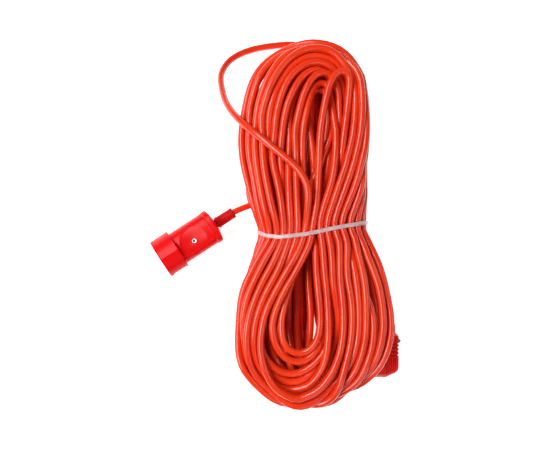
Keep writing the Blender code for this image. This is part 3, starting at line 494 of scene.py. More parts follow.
def settle(line, hold, steps):
    """Lets the winding sink, lie on itself and straighten. Some overlaps are left."""
    free = (hold < 1)[:, None].astype(float)
    pull = free * hold[:, None] * (1, 1, 0.5)
    home = line.copy()
    rest = np.linalg.norm(np.diff(line, axis=0), axis=1)
    bend = bends(line)
    for step in range(steps):
        if step % PAIRS_EVERY == 0:
            middles = 0.5 * (line[1:] + line[:-1])
            pairs = close_pairs(middles, SEGMENT + CORD_D)
        line = line + pull * (home - line)
        line = line - free * (0, 0, SINK * max(0.0, 1 - step / (SINK_SHARE * steps)))
        line = push_apart(line, free, pairs, CORD_D)
        line = line + free * keep_lengths(line, rest)
        line = line + free * keep_bends(line, bend)
        hold_in_waist(line, free)
        for low, high in PLUG_BOXES:
            keep_off_box(line, free, low, high)
        line[:, 2] = np.where(hold < 1, np.maximum(line[:, 2], CORD_R), line[:, 2])
    return line


def keep_lengths(line, rest):
    """The moves that bring each segment back to its length."""
    span = line[1:] - line[:-1]
    size = np.linalg.norm(span, axis=1)
    fix = span * (LENGTH_PULL * (size - rest) / size)[:, None]
    shift = np.zeros_like(line)
    shift[:-1] += fix
    shift[1:] -= fix
    return shift


def keep_bends(line, bend):
    """The moves that keep each stretch's own bend, which iron out kinks."""
    wrong = bends(line) - BEND_KEPT * bend
    shift = np.zeros_like(line)
    shift[1:-1] -= BEND_PULL * wrong
    shift[:-2] += 0.5 * BEND_PULL * wrong
    shift[2:] += 0.5 * BEND_PULL * wrong
    return shift


def soften(mesh, sharp):
    """Smooth shading, but for edges sharper than an angle in degrees."""
    mesh.shade_smooth()
    mesh.set_sharp_from_angle(angle=math.radians(sharp))


def mesh_object(name, points, faces, sharp):
    """An object of points in metres, its faces turned outwards."""
    mesh = bpy.data.meshes.new(name)
    mesh.from_pydata(points, [], faces)
    shape = bmesh.new()
    shape.from_mesh(mesh)
    bmesh.ops.recalc_face_normals(shape, faces=shape.faces)
    shape.to_mesh(mesh)
    shape.free()
    soften(mesh, sharp)
    obj = bpy.data.objects.new(name, mesh)
    bpy.context.scene.collection.objects.link(obj)
    return obj


def declare(obj, body, slot, *nodes):
    """Attaches a piece to the body it rides on and hides the CAD nodes it replaces. slot is not used.
    """
    if nodes:
        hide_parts(*nodes)
    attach(obj, body)


def tube_mesh(name, line, radius, sides):
    """A closed tube round a line, its rings turned as little as possible from one to the next."""
    tangents = np.gradient(line, axis=0)
    tangents /= np.linalg.norm(tangents, axis=1)[:, None]
    side = np.cross(tangents[0], (0.0, 0.0, 1.0))
    side /= np.linalg.norm(side)
    sides_at = np.empty_like(line)
    for k, tangent in enumerate(tangents):
        side = side - tangent * np.dot(side, tangent)
        side /= np.linalg.norm(side)
        sides_at[k] = side
    ups = np.cross(sides_at, tangents)
    angles = 2 * math.pi * np.arange(sides) / sides
    ring = (np.cos(angles)[None, :, None] * sides_at[:, None, :]
            + np.sin(angles)[None, :, None] * ups[:, None, :])
    points = (line[:, None, :] + radius * ring).reshape(-1, 3) * MM
    count = len(line)
    rows = np.arange(count - 1)[:, None] * sides
    i = np.arange(sides)[None, :]
    j = (i + 1) % sides
    quads = np.stack([rows + i, rows + sides + i, rows + sides + j, rows + j], axis=2)
    quads = quads.reshape(-1, 4)
    faces = quads.tolist()
    faces.append(list(range(sides)))
    faces.append(list(range((count - 1) * sides, count * sides))[::-1])
    return mesh_object(name, points.tolist(), faces, 60)


def make_hank(material):
    line, hold = whole_line(np.random.default_rng(WINDING_SEED))
    line = settle(line, hold, SETTLE_STEPS)
    smooth = resample(catmull(line, 4), MESH_STEP)
    hank = tube_mesh("wound_cord", smooth, CORD_R, TUBE_SIDES)
    hank.data.materials.append(material)
    declare(hank, "hank", "cord", "hank_coil", "loose_loop", "plug_lead")
    return hank, smooth


def from_socket(point):
    """A point given in the socket's own frame, in the hank's."""
    c, s = math.cos(SOCKET_ANGLE), math.sin(SOCKET_ANGLE)
    x, y, z = point
    return SOCKET_MOUTH + (c * x - s * y, s * x + c * y, z)


def make_lead(material):
    route = [SOCKET_PIVOT, *LEAD_OUTSIDE, *[from_socket((x, 0, 0)) for x in LEAD_INSIDE_X]]
    line = resample(catmull(route, 16), LEAD_STEP)
    lead = tube_mesh("lead_cord", line, CORD_R, LEAD_SIDES)
    lead.data.materials.append(material)
    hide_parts("socket_lead")
    from_socket((LEAD_RIGID_X, 0, 0)) * MM
    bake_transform(lead)
    return lead, line


# ==== solids ==================================================================================

def solid(name, points, faces, material, sharp=32, bevel=0.0):
    """A closed mesh object from points in millimetres, smooth but for its sharper edges."""
    obj = mesh_object(name, [tuple(np.asarray(p) * MM) for p in points], faces, sharp)
    if material:
        obj.data.materials.append(material)
    if bevel:
        edge = obj.modifiers.new("edge", "BEVEL")
        edge.width = bevel * MM
        edge.segments = 2
        edge.limit_method = "ANGLE"
        edge.angle_limit = math.radians(40)
        edge.harden_normals = True
    return obj


def loft_faces(rows, count, closed_round=True, closed_along=False, caps=True):
    """The faces of a grid of rows x count points."""
    faces = []
    for row in range(rows if closed_along else rows - 1):
        low, high = row * count, ((row + 1) % rows) * count
        for i in range(count if closed_round else count - 1):
            j = (i + 1) % count
            faces.append((low + i, low + j, high + j, high + i))
    if caps:
        faces.append(tuple(range(count)))
        faces.append(tuple(range((rows - 1) * count, rows * count)))
    return faces


def turned(name, profile, axis, centre, material, sides=48, closed=False, sharp=32, place=None):
    """A solid of revolution: profile holds (place along the axis, radius) pairs."""
    k = "XYZ".index(axis)
    points = []
    for along, radius in profile:
        for i in range(sides):
            angle = 2 * math.pi * i / sides
            point = np.array(centre, float)
            point[k] += along
            point[(k + 1) % 3] += radius * math.cos(angle)
            point[(k + 2) % 3] += radius * math.sin(angle)
            points.append(place(point) if place else point)
    faces = loft_faces(len(profile), sides, closed_along=closed, caps=not closed)
    return solid(name, points, faces, material, sharp)


def box_solid(name, low, high, place=None, turn=0.0):
    """A box between two corners, turned by an angle in its own x-y plane about its middle."""
    mid = 0.5 * (np.array(low) + np.array(high))
    c, s = math.cos(turn), math.sin(turn)
    points = []
    for z in (low[2], high[2]):
        for x, y in ((low[0], low[1]), (high[0], low[1]), (high[0], high[1]), (low[0], high[1])):
            dx, dy = x - mid[0], y - mid[1]
            point = np.array([mid[0] + c * dx - s * dy, mid[1] + s * dx + c * dy, z])
            points.append(place(point) if place else point)
    return solid(name, points, loft_faces(2, 4), None)


def carve(target, *tools):
    """Cuts the tools out of the target and removes them."""
    for tool in tools:
        cut = target.modifiers.new(tool.name, "BOOLEAN")
        cut.operation = "DIFFERENCE"
        cut.solver = "EXACT"
        cut.object = tool
    bpy.context.view_layer.update()
    graph = bpy.context.evaluated_depsgraph_get()
    mesh = bpy.data.meshes.new_from_object(target.evaluated_get(graph))
    target.modifiers.clear()
    target.data = mesh
    soften(mesh, 28)
    for tool in tools:
        bpy.data.objects.remove(tool, do_unlink=True)


def oval(angle, half, squareness):
    """A point of a superellipse with these half sizes."""
    c, s = math.cos(angle), math.sin(angle)
    size = (abs(c) ** squareness + abs(s) ** squareness) ** (-1 / squareness)
    return half[0] * size * c, half[1] * size * s


# ==== socket ==================================================================================

def collar_point(angle, radius):
    """A point of the collar's section, whose top is a low roof of two facets."""
    y, z = oval(angle, (radius, radius), 2.05)
    if z > 0 and abs(y) < radius * math.sin(RIDGE_ANGLE):
        z = (radius - abs(y) * math.sin(RIDGE_ANGLE)) / math.cos(RIDGE_ANGLE)
    return y, z


def pad_drop(x, y):
    """How far the dished thumb pad lies below the body's own surface."""
    dx, dy = x - PAD_CENTRE[0], y - PAD_CENTRE[1]
    distance = math.hypot(dx, dy)
    edge = min(1.0, max(0.0, (PAD_R + 0.25 - distance) / 0.5))
    turn = math.cos(math.atan2(dy, dx) - math.radians(140))
    step = PAD_STEP * (0.45 + 0.55 * turn) * edge
    dish = PAD_DEPTH * max(0.0, 1 - (distance / PAD_R) ** 2)
    rim = 0.28 * max(0.0, turn) * math.exp(-((distance - PAD_R - 0.9) / 0.7) ** 2)
    return step + dish - rim


def outer_stations():
    """(x, section, half sizes or radius) from the mouth's lip to the neck."""
    stations = [(0.7, "round", COLLAR_R - 1.3), (0.0, "round", COLLAR_R - 0.8),
                (0.1, "round", COLLAR_R - 0.3), (0.6, "round", COLLAR_R)]
    stations += [(x, "round", COLLAR_R) for x in np.linspace(1.6, COLLAR_END - 0.9, 20)]
    stations += [(COLLAR_END - 0.3, "round", COLLAR_R - 0.15),
                 (COLLAR_END, "round", COLLAR_R - 0.7)]
    body = np.array(BODY_HALF)
    stations += [(COLLAR_END + 0.05, "oval", body + 0.9), (COLLAR_END + 0.4, "oval", body + 0.3),
                 (COLLAR_END + 1.0, "oval", body)]
    stations += [(x, "oval", body) for x in np.arange(COLLAR_END + 1.5, BODY_END - 1.0, 0.5)]
    flange = np.array(FLANGE_HALF)
    stations += [(BODY_END - 0.7, "oval", body + 0.1), (BODY_END - 0.2, "oval", body + 0.4),
                 (BODY_END, "oval", flange - 0.3), (BODY_END + 0.3, "oval", flange)]
    stations += [(x, "oval", flange) for x in np.linspace(BODY_END + 1, FLANGE_END - 0.9, 6)]
    stations += [(FLANGE_END - 0.3, "oval", flange - 0.1), (FLANGE_END, "oval", flange - 0.5)]
    for share in np.linspace(0.94, NECK_R / FLANGE_HALF[1], 12):
        stations.append((FLANGE_END + DOME_RISE * (1 - share**2), "oval", flange * share))
    return stations


def outer_point(x, kind, size, angle, upper):
    """A point of the shells' outer skin, flattened for the grip, dished for the thumb, leaned."""
    if kind == "round":
        y, z = collar_point(angle, size)
        grip = abs(z) < 9.0 and y < 0 and 4.0 < x < 19.5
        y += 1.1 if grip else 0.0
    else:
        share = min(1.0, size[0] / FLANGE_HALF[0])
        y, z = oval(angle, size, 2.9 if share > 0.9 else 2.0 + share)
    if upper and kind == "oval" and COLLAR_END + 0.5 < x < BODY_END - 0.5 and z > 4:
        z -= pad_drop(x + LEAN[0] * z, y + LEAN[1] * z) * min(1.0, (z - 4) / 6)
    return np.array([x + LEAN[0] * z, y + LEAN[1] * z, z])


def inner_stations():
    """(x, half sizes, squareness) of the hollow, from the neck back to the mouth."""
    cavity = np.array(CAVITY_HALF)
    return [(CAVITY_END + 3.6, (NECK_R, NECK_R), 2.0), (CAVITY_END, (NECK_R, NECK_R), 2.0),
            (CAVITY_END - 0.2, cavity - 1.0, 3.0), (CAVITY_END - 1.2, cavity, 3.0),
            (RECESS_END + 1.0, cavity, 3.0), (RECESS_END, (RECESS_R, RECESS_R), 2.0),
            (1.4, (RECESS_R, RECESS_R), 2.0)]


def make_half_shell(name, upper, material):
    """One of the two shells, a wall between its outer skin and its hollow, open at the split."""
    angles = np.linspace(0, math.pi, SHELL_SIDES + 1) + (0 if upper else math.pi)
    split = SHELL_GAP if upper else -SHELL_GAP
    rows = [[outer_point(x, kind, size, angle, upper) for angle in angles]
            for x, kind, size in outer_stations()]
    for x, half, squareness in inner_stations():
        rows.append([np.array([x, *oval(angle, half, squareness)]) for angle in angles])
    for point in rows[-1]:
        point[0] += LEAN[0] * point[2]
    for row in rows:
        for point in (row[0], row[-1]):
            point[2] = split
    points = [from_socket(p) for row in rows for p in row]
    count = len(angles)
    faces = loft_faces(len(rows), count, closed_round=False, closed_along=True, caps=False)
    for end in (0, count - 1):
        faces.append(tuple(row * count + end for row in range(len(rows))))
    return solid(name, points, faces, material, sharp=26)


def make_socket(shell_material, steel, painted_slot_shade):
    """The two shells with the seats of the closing screw and its nut, and the screw."""
    x, y = PAD_CENTRE
    nut_x, nut_z, nut_r = NUT_SEAT
    seats = [("socket_upper", [(SEAT_Z, SCREW_R + 0.5), (CUT_FAR, SCREW_R + 0.5)], (x, y, 0), 48),
             ("socket_lower", [(-CUT_FAR, nut_r), (nut_z, nut_r)], (nut_x, 0, 0), 6)]
    for name, profile, centre, sides in seats:
        shell = make_half_shell(name, name == "socket_upper", shell_material)
        carve(shell, turned("seat", profile, "Z", centre, None, sides, place=from_socket))
        declare(shell, "socket", "red_plastic", name + "_shell")
    make_closing_screw(x, y, steel, painted_slot_shade)


def make_closing_screw(x, y, steel, painted_slot_shade):
    """A cross-slotted screw whose slot faces and middle carry a near-black second material: painted
    shade.
    """
    top = SCREW_TOP
    profile = [(top - 16, 1.4), (top - 2.2, 1.4), (top - 2.2, SCREW_R), (top - 0.5, SCREW_R),
               (top, SCREW_R - 0.45), (top - 0.05, 1.45), (top - 0.5, 1.2), (top - 2.0, 1.0)]
    head = turned("closing_screw", profile, "Z", (x, y, 0), steel, 40, place=from_socket)
    low, high = (x - 1.9, y - 0.3, top - 1.2), (x + 1.9, y + 0.3, top + 1)
    carve(head, *[box_solid(f"slot_{turn}", low, high, from_socket, math.radians(turn))
                  for turn in (20, 110)])
    # Painted shade: the slot faces and the head's recessed middle get the near-black second material.
    head.data.materials.append(painted_slot_shade)
    middle = Vector(from_socket((x, y, 0)))
    for face in head.data.polygons:
        away = Vector(face.center) / MM - middle
        in_slot = away.xy.length < 1.4 and away.z > top - 2.1 and face.normal.z < 0.95
        if in_slot or away.xy.length < 1.2:
            face.material_index = 1
    declare(head, "socket", "steel", "socket_closing_screw")


def make_sleeve(material):
    """The soft bend relief: a necked root, a barrel and a hollow end round the cord."""
    hole = CORD_R + 0.35
    profile = [(58.6, hole), (58.6, 7.0), (60.4, 7.0), (60.4, 4.6), (69.6, 4.6), (70.2, 4.9),
               (70.3, 5.7), (70.9, 6.1), (72.3, 6.1), (72.7, 5.85), (80, 5.7), (88.4, 5.55),
               (88.8, 5.75), (90.4, 5.7), (90.9, 5.35), (90.9, 4.7), (88.9, 4.2), (88.0, hole)]
    sleeve = turned("bend_sleeve", profile, "X", (0, 0, 0), material, 56, closed=True,
                    place=from_socket)
    declare(sleeve, "socket", "sleeve", "socket_bend_sleeve")


# ==== plug ====================================================================================

def from_plug(point):
    """A point given in the plug's own frame, in the hank's."""
    x, y, z = point
    return PLUG_ORIGIN + (-x, -y, z)


def plug_outline(inset, slant, neck_wall):
    """The plug's (y, z) outline: a round closed end and a shoulder down to the neck.

    neck_wall is how far short of the neck's end it stops, for the hollow.
    """
    r = PLUG_R - inset
    end = []
    for a in np.linspace(0, math.pi, 49):
        y = max(0.0, r - slant) * math.sin(a) ** 0.95
        end.append((y, r * math.cos(a)))
    neck_y, neck = PLUG_NECK_Y + neck_wall, PLUG_NECK_HALF - inset
    shoulder = PLUG_SHOULDER_Y + 0.4 * inset
    low_side = [(0.5 * shoulder, -r), (shoulder, -r), (shoulder - 0.7, -r + 0.7),
                (shoulder - 1.1, -r + 2.5), (shoulder - 1.3, -neck - 0.6), (neck_y, -neck)]
    return end + low_side + [(y, -z) for y, z in reversed(low_side)]


def plug_prism(name, steps, neck_wall, material):
    """The outline pushed along x; steps holds (x, inset, slant of the closed end)."""
    rings = [[from_plug((x, y, z)) for y, z in plug_outline(inset, slant, neck_wall)]
             for x, inset, slant in steps]
    faces = loft_faces(len(rings), len(rings[0]))
    return solid(name, [p for ring in rings for p in ring], faces, material, sharp=30)


def plug_grooves(name, x_low, x_high):
    """Cutters for the grip: bars across the flat sides and fins round the closed end."""
    tools = []
    for side in (-1, 1):
        for i, y in enumerate(RIBS_Y):
            low_z, high_z = sorted((side * (PLUG_R - GROOVE_DEPTH), side * (PLUG_R + 2)))
            tools.append(box_solid(f"{name}_bar_{side}_{i}", (-30, y - RIB_HALF, low_z),
                                   (5, y + RIB_HALF, high_z), from_plug))
    if x_low <= PLUG_BACK:
        for i, y in enumerate(RIBS_Y):
            tools.append(box_solid(f"{name}_back_{i}", (-30, y - RIB_HALF, -PLUG_R - 1),
                                   (PLUG_BACK + 0.9, y + RIB_HALF, PLUG_R + 1), from_plug))
    for x in FINS_X:
        if x_low < x < x_high:
            tools.append(fin_cutter(f"{name}_fin_{x}", x))
    return tools


def fin_cutter(name, x):
    """A thin slot that starts on one flat side and runs round the closed end to the other."""
    slant = end_slant(x)
    points = []
    angles = np.linspace(0, math.pi, 41)
    for step, angle in enumerate([0.0, *angles, math.pi]):
        for dx, r in ((-FIN_HALF, PLUG_R - GROOVE_DEPTH), (-FIN_HALF, PLUG_R + 2),
                      (FIN_HALF, PLUG_R + 2), (FIN_HALF, PLUG_R - GROOVE_DEPTH)):
            y = (r - slant) * math.sin(angle) if 0 < step <= len(angles) else FINS_FROM_Y
            points.append(from_plug((x + dx, y, r * math.cos(angle))))
    return solid(name, points, loft_faces(len(angles) + 2, 4), None)


def end_slant(x):
    """How much shorter the closed end is at a place along the pins' direction."""
    start, span = SLANT_X
    return PLUG_END_SLANT * min(1.0, max(0.0, (start - x) / span))


def plug_bore(name, low, high, radius, axis, centre):
    """A round cutter through the plug."""
    return turned(name, [(low, radius), (high, radius)], axis, centre, None, 32, place=from_plug)


def make_plug(shell_material, steel):
    """The cover and base halves, hollow and grooved, and the two closing screws."""
    wall = PLUG_WALL
    back = [(PLUG_BACK + x, inset, end_slant(PLUG_BACK + x))
            for x, inset in ((0, 1.0), (0.4, 0.5), (1.5, 0.15), (2.4, 0.0))]
    back += [(x, 0.0, end_slant(x)) for x in (-21.0, -18.5, -16.5)]
    halves = [("plug_cover", back + [(PLUG_SPLIT - 0.55, 0.0, 0.0), (PLUG_SPLIT - 0.15, 0.4, 0.0)],
               [(PLUG_BACK + wall, wall, PLUG_END_SLANT), (PLUG_SPLIT + 1, wall, 0.0)]),
              ("plug_base", [(PLUG_SPLIT + 0.15, 0.4, 0.0), (PLUG_SPLIT + 0.55, 0.0, 0.0),
                             (-0.8, 0.0, 0.0), (0.0, 0.8, 0.0)],
               [(PLUG_SPLIT - 1, wall, 0.0), (-3.0, wall, 0.0)])]
    for name, steps, hollow in halves:
        # shell_material here is the plug's lightened red: painted light against the hank's shadow.
        half = plug_prism(name + "_body", steps, 0.0, shell_material)
        tools = [plug_prism(name + "_hollow", hollow, wall, None),
                 plug_bore(name + "_cord_way", PLUG_NECK_Y - 2, PLUG_NECK_Y + 8, CORD_R + 0.3, "Y",
                           (PLUG_SPLIT, 0, 0))]
        if name == "plug_base":
            screw_y, screw_z = NUBS[0]
            for side in (-1, 1):
                tools.append(plug_bore(f"pin_way_{side}", -5, 1, 2.7, "X", (0, 0, side * PIN_Z)))
                tools.append(plug_bore(f"screw_way_{side}", -5, 1, 3.0, "X",
                                       (0, screw_y, side * screw_z)))
        tools += plug_grooves(name, steps[0][0], steps[-1][0])
        carve(half, *tools)
        declare(half, "hank", "red_plastic", name)
    make_plug_screws(shell_material, steel)


def make_plug_screws(shell_material, steel):
    """Each closing screw, its tip standing out of a low boss on the plug's back."""
    screw_profile = [(-31.9, 0.5), (-31.6, 1.05), (-31.0, 1.35), (-2.0, 1.35), (-2.0, 2.6),
                     (-0.8, 2.6), (-0.4, 2.2)]
    boss_profile = [(-30.1, 1.5), (-30.1, 2.0), (-29.6, 2.3), (-28.4, 2.5), (-27.4, 2.9),
                    (-26.6, 3.0), (-26.6, 1.5)]
    for number, (y, z) in enumerate(NUBS, 1):
        screw = turned(f"plug_screw_{number}", screw_profile, "X", (0, y, z), steel, 28,
                       place=from_plug)
        declare(screw, "hank", "steel", f"plug_closing_screw_{number}")
        boss = turned(f"plug_boss_{number}", boss_profile, "X", (0, y, z), shell_material, 36,
                      closed=True, place=from_plug)
        declare(boss, "hank", "red_plastic")


# ==== cable tie ===============================================================================

def hull_round(points, radius):
    """The convex outline, evenly spaced, of discs of one radius round the points."""
    turns = np.linspace(0, 2 * math.pi, 720, endpoint=False)
    ways = np.column_stack([np.cos(turns), np.sin(turns)])
    reach = points @ ways.T
    corners = points[np.argmax(reach, axis=0)] + radius * ways
    closed = np.vstack([corners, corners[:1]])
    along = np.concatenate([[0], np.cumsum(np.linalg.norm(np.diff(closed, axis=0), axis=1))])
    places = np.linspace(0, along[-1], STRAP_POINTS, endpoint=False)
    return np.column_stack([np.interp(places, along, closed[:, k]) for k in (0, 1)])


def make_tie(line, material):
    """A nylon strap pulled tight round the runs of cord, with its head under the left side."""
    dense = resample(line, STRAP_SAMPLE)
    near = np.abs(dense[:, 1] - tie_y(dense[:, 0])) < STRAP_WIDTH / 2 + STRAP_MARGIN
    middle = dense[near][:, [0, 2]]
    path = hull_round(middle, CORD_R + 0.12)
    outward = path - np.roll(path, 1, axis=0)
    outward = outward + np.roll(outward, -1, axis=0)
    outward = np.column_stack([outward[:, 1], -outward[:, 0]])
    outward /= np.linalg.norm(outward, axis=1)[:, None]
    path[:, 1] = np.maximum(path[:, 1], 0.2 + STRAP_THICKNESS)
    half = STRAP_WIDTH / 2
    section = [(-half, 0.15), (-half, 0.75), (-half + 0.45, STRAP_THICKNESS), (-0.9, STRAP_THICKNESS),
               (-0.7, 0.85), (0.7, 0.85), (0.9, STRAP_THICKNESS), (half - 0.45, STRAP_THICKNESS),
               (half, 0.75), (half, 0.15), (half - 0.4, 0.0), (-half + 0.4, 0.0)]
    points = []
    for (x, z), way in zip(path, outward):
        y = float(tie_y(x))
        for along, depth in section:
            points.append((x + depth * way[0], y + along, z + depth * way[1]))
    faces = loft_faces(len(path), len(section), closed_along=True, caps=False)
    strap = solid("tie_strap", points, faces, material, sharp=40)
    declare(strap, "hank", "tie_nylon", "cable_tie")
    make_tie_head(path, outward, material)


def make_tie_head(path, outward, material):
    """The square head, at the lower left."""
    k = int(np.argmin(path @ np.array([0.8, 0.6])))
    (x, z), way = path[k], outward[k]
    tangent = np.array([way[1], -way[0]])
    y = float(tie_y(x))

    def place(point):
        along, side, depth = point
        flat = np.array([x, z]) + along * tangent + depth * way
        return np.array([flat[0], y + side, max(0.15, flat[1])])

    steps = [(0.1, 2.5), (0.8, 2.8), (3.4, 2.8), (4.0, 2.3)]
    points = [place((a * r, b * r * 1.05, depth)) for depth, r in steps
              for a, b in ((-1, -0.9), (-0.9, -1), (0.9, -1), (1, -0.9), (1, 0.9), (0.9, 1),
                           (-0.9, 1), (-1, 0.9))]
    head = solid("tie_head", points, loft_faces(len(steps), 8), material, bevel=0.25)
    declare(head, "hank", "tie_nylon")


# ==== materials ===============================================================================

EVEN = (1, 1, 1)  # a noise's stretch along x, y and z


def new_material(name, colour, roughness, **sockets):
    """A material with its constant values on the shader's own sockets."""
    material = bpy.data.materials.new(name)
    material.use_nodes = True
    shader = material.node_tree.nodes["Principled BSDF"]
    shader.inputs["Base Color"].default_value = (*colour, 1)
    shader.inputs["Roughness"].default_value = roughness
    for socket, value in sockets.items():
        shader.inputs[socket.replace("_", " ")].default_value = value
    return material


def add_noise(material, scale, detail=2.0, stretch=EVEN):
    """A noise over the object's own coordinates, in metres."""
    nodes, links = material.node_tree.nodes, material.node_tree.links
    place = nodes.new("ShaderNodeTexCoord")
    mapping = nodes.new("ShaderNodeMapping")
    mapping.inputs["Scale"].default_value = stretch
    noise = nodes.new("ShaderNodeTexNoise")
    noise.inputs["Scale"].default_value = scale
    noise.inputs["Detail"].default_value = detail
    links.new(place.outputs["Object"], mapping.inputs["Vector"])
    links.new(mapping.outputs["Vector"], noise.inputs["Vector"])
    return noise.outputs["Fac"]


def vary_colour(material, field, low, high):
    """Colour that goes from low to high as the field goes from 0.35 to 0.65."""
    nodes, links = material.node_tree.nodes, material.node_tree.links
    ramp = nodes.new("ShaderNodeValToRGB")
    ramp.color_ramp.elements[0].position = 0.35
    ramp.color_ramp.elements[0].color = (*low, 1)
    ramp.color_ramp.elements[1].position = 0.65
    ramp.color_ramp.elements[1].color = (*high, 1)
    links.new(field, ramp.inputs["Fac"])
    links.new(ramp.outputs["Color"], nodes["Principled BSDF"].inputs["Base Color"])


def vary_roughness(material, field, low, high):
    """Roughness that goes from low to high as the field goes from 0.3 to 0.7."""
    nodes, links = material.node_tree.nodes, material.node_tree.links
    span = nodes.new("ShaderNodeMapRange")
    span.inputs["From Min"].default_value = 0.3
    span.inputs["From Max"].default_value = 0.7
    span.inputs["To Min"].default_value = low
    span.inputs["To Max"].default_value = high
    links.new(field, span.inputs["Value"])
    links.new(span.outputs["Result"], nodes["Principled BSDF"].inputs["Roughness"])


def add_bump(material, field, strength, distance):
    """A fine unevenness of the surface, its height in metres."""
    nodes, links = material.node_tree.nodes, material.node_tree.links
    bump = nodes.new("ShaderNodeBump")
    bump.inputs["Strength"].default_value = strength
    bump.inputs["Distance"].default_value = distance
    links.new(field, bump.inputs["Height"])
    links.new(bump.outputs["Normal"], nodes["Principled BSDF"].inputs["Normal"])


def make_material(name, low, high, rough, tone, gloss=None, bump=None, colour=None, **sockets):
    """A material whose colour runs from low to high over a noise of tone's scale and detail.

    gloss is (scale, detail, low and high roughness, stretch), bump (scale, detail, strength, height).
    """
    material = new_material(name, colour or low, rough, **sockets)
    vary_colour(material, add_noise(material, *tone), low, high)
    if gloss:
        scale, detail, smooth, dull, stretch = gloss
        vary_roughness(material, add_noise(material, scale, detail, stretch), smooth, dull)
    if bump:
        scale, detail, strength, height = bump
        add_bump(material, add_noise(material, scale, detail), strength, height)
    return material


def make_cord_material():
    """Smooth orange-red PVC with a soft gloss, slightly uneven in tone and surface."""
    return make_material("cord_pvc", (0.80, 0.032, 0.005), (0.90, 0.050, 0.008), 0.24, (22, 3),
                         (300, 2, 0.16, 0.24, EVEN), (900, 2, 0.10, 0.0002),
                         (0.86, 0.040, 0.006), Specular_IOR_Level=0.65)


def make_shell_material(name, low, high, rough):
    """Moulded red plastic with a faint grain."""
    return make_material(name, low, high, rough, (45, 3), (500, 3, rough - 0.04, rough + 0.06, EVEN),
                         (1200, 2, 0.04, 0.0001), Specular_IOR_Level=0.18)


def make_sleeve_material():
    """Matt soft PVC, darker than the shells."""
    return make_material("sleeve_pvc", (0.47, 0.001, 0.003), (0.60, 0.002, 0.005), 0.5, (160, 3),
                         None, (1400, 3, 0.25, 0.0002), (0.52, 0.001, 0.004),
                         Specular_IOR_Level=0.12)


def make_tie_material():
    """Milky nylon that lets some of the red through."""
    return make_material("tie_nylon_clear", (0.82, 0.55, 0.56), (0.91, 0.68, 0.68), 0.34, (140, 2),
                         None, (700, 2, 0.15, 0.0002), (0.93, 0.80, 0.83),
                         Transmission_Weight=0.3, Subsurface_Weight=0.15, Subsurface_Scale=0.002)


def make_metal(name, low, high, rough, stretch):
    """Bare metal with a fine grain, directional where it is stretched."""
    return make_material(name, low, high, rough, (220, 3),
                         (900, 2, rough - 0.05, rough + 0.1, stretch), Metallic=1.0)


def make_plain(name, low, high, rough):
    """A moulded or extruded plastic with a slight unevenness."""
    return make_material(name, low, high, rough, (90, 3), None, (1500, 2, 0.1, 0.0001))


def dress_frame(nodes, finishes):
    """Gives every CAD node that stays in view the finish of its kind."""
    for name, obj in nodes.items():
        for words, material in finishes:
            if any(word in name for word in words):
                obj.data.materials.clear()
                obj.data.materials.append(material)
                break


# ==== stage ===================================================================================

def make_stage():
    """The white floor, the camera straight above, the white world and the lights."""
    bpy.ops.mesh.primitive_plane_add(size=6.0, location=(0, 0, 0))
    floor = bpy.context.object
    floor.name = "floor"
    paper = new_material("floor_white", (0.94, 0.94, 0.94), 0.8, Emission_Color=(1, 1, 1, 1),
                         Emission_Strength=FLOOR_GLOW)
    vary_colour(paper, add_noise(paper, 3), (0.93, 0.93, 0.93), (0.95, 0.95, 0.95))
    floor.data.materials.append(paper)

    camera = bpy.data.cameras.new("camera")
    camera.lens = FOCAL_PIXELS / FRAME_WIDTH * SENSOR_WIDTH
    camera.sensor_width = SENSOR_WIDTH
    camera.clip_start = 0.01
    view = bpy.data.objects.new("camera", camera)
    view.location = (0, 0, CAMERA_HEIGHT)
    bpy.context.scene.collection.objects.link(view)
    bpy.context.scene.camera = view
    bpy.context.scene.view_settings.view_transform = "Standard"

    world = bpy.data.worlds.new("world")
    world.use_nodes = True
    world.node_tree.nodes["Background"].inputs["Color"].default_value = (1, 1, 1, 1)
    world.node_tree.nodes["Background"].inputs["Strength"].default_value = WORLD_STRENGTH
    bpy.context.scene.world = world
    for name, place, power, width, length in LIGHTS:
        add_light(name, place, power, width, length)


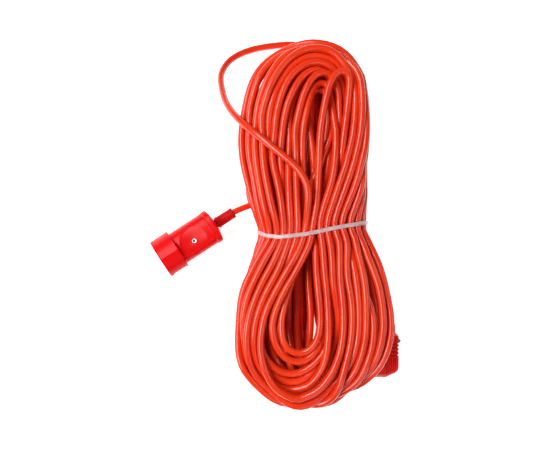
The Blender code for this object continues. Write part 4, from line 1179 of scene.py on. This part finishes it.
def add_light(name, place, power, width, length):
    """A studio light box that faces the object."""
    light = bpy.data.lights.new(name, "AREA")
    light.shape = "RECTANGLE"
    light.energy = power
    light.size = width
    light.size_y = length
    obj = bpy.data.objects.new(name, light)
    obj.location = place
    obj.rotation_euler = (-Vector(place)).to_track_quat("-Z", "Y").to_euler()
    bpy.context.scene.collection.objects.link(obj)


# ==== whole ===================================================================================

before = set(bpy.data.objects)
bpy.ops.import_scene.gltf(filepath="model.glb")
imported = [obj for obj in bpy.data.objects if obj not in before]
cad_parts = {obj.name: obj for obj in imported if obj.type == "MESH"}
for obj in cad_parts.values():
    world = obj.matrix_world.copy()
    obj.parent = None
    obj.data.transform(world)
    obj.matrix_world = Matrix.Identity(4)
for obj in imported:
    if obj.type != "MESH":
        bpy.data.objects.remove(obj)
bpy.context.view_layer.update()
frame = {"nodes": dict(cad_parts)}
make_stage()
cord_material = make_cord_material()
shell_material = make_shell_material("socket_red", (0.72, 0.001, 0.002), (0.80, 0.002, 0.003), 0.34)
# The plug's copy of the shells' red plastic is made lighter: painted light that makes up for the hank's
# shadow over the plug.
lightened_plug_plastic = make_shell_material("plug_red_painted_light", (0.90, 0.010, 0.005), (1.0, 0.014, 0.007), 0.34)
steel = make_metal("screw_steel", (0.82, 0.82, 0.83), (0.93, 0.93, 0.94), 0.42, EVEN)
brass = make_metal("pin_brass", (0.66, 0.45, 0.17), (0.80, 0.58, 0.26), 0.26, (8, 1, 1))
insulator = make_plain("insulator_white", (0.72, 0.70, 0.64), (0.80, 0.78, 0.73), 0.5)
brown = make_plain("core_brown_pvc", (0.13, 0.04, 0.015), (0.19, 0.06, 0.025), 0.4)
blue = make_plain("core_blue_pvc", (0.015, 0.07, 0.38), (0.03, 0.10, 0.50), 0.4)
dress_frame(frame["nodes"], [
    (("core_live",), brown), (("core_neutral",), blue), (("screw", "nut"), steel),
    (("contact_carrier", "cord_clamp"), insulator), (("pin", "contact"), brass),
    (("shell", "plug_base", "plug_cover"), shell_material),
    (("hank", "loop", "lead"), cord_material)])
hank, hank_line = make_hank(cord_material)
lead, lead_line = make_lead(cord_material)
# Near-black metal for the closing screw's slots and middle: painted shade.
painted_slot_shade = make_metal("screw_slot_painted_shade", (0.05, 0.05, 0.05), (0.12, 0.12, 0.12), 0.5, EVEN)
make_socket(shell_material, steel, painted_slot_shade)
make_sleeve(make_sleeve_material())
make_plug(lightened_plug_plastic, steel)
make_tie(hank_line, make_tie_material())
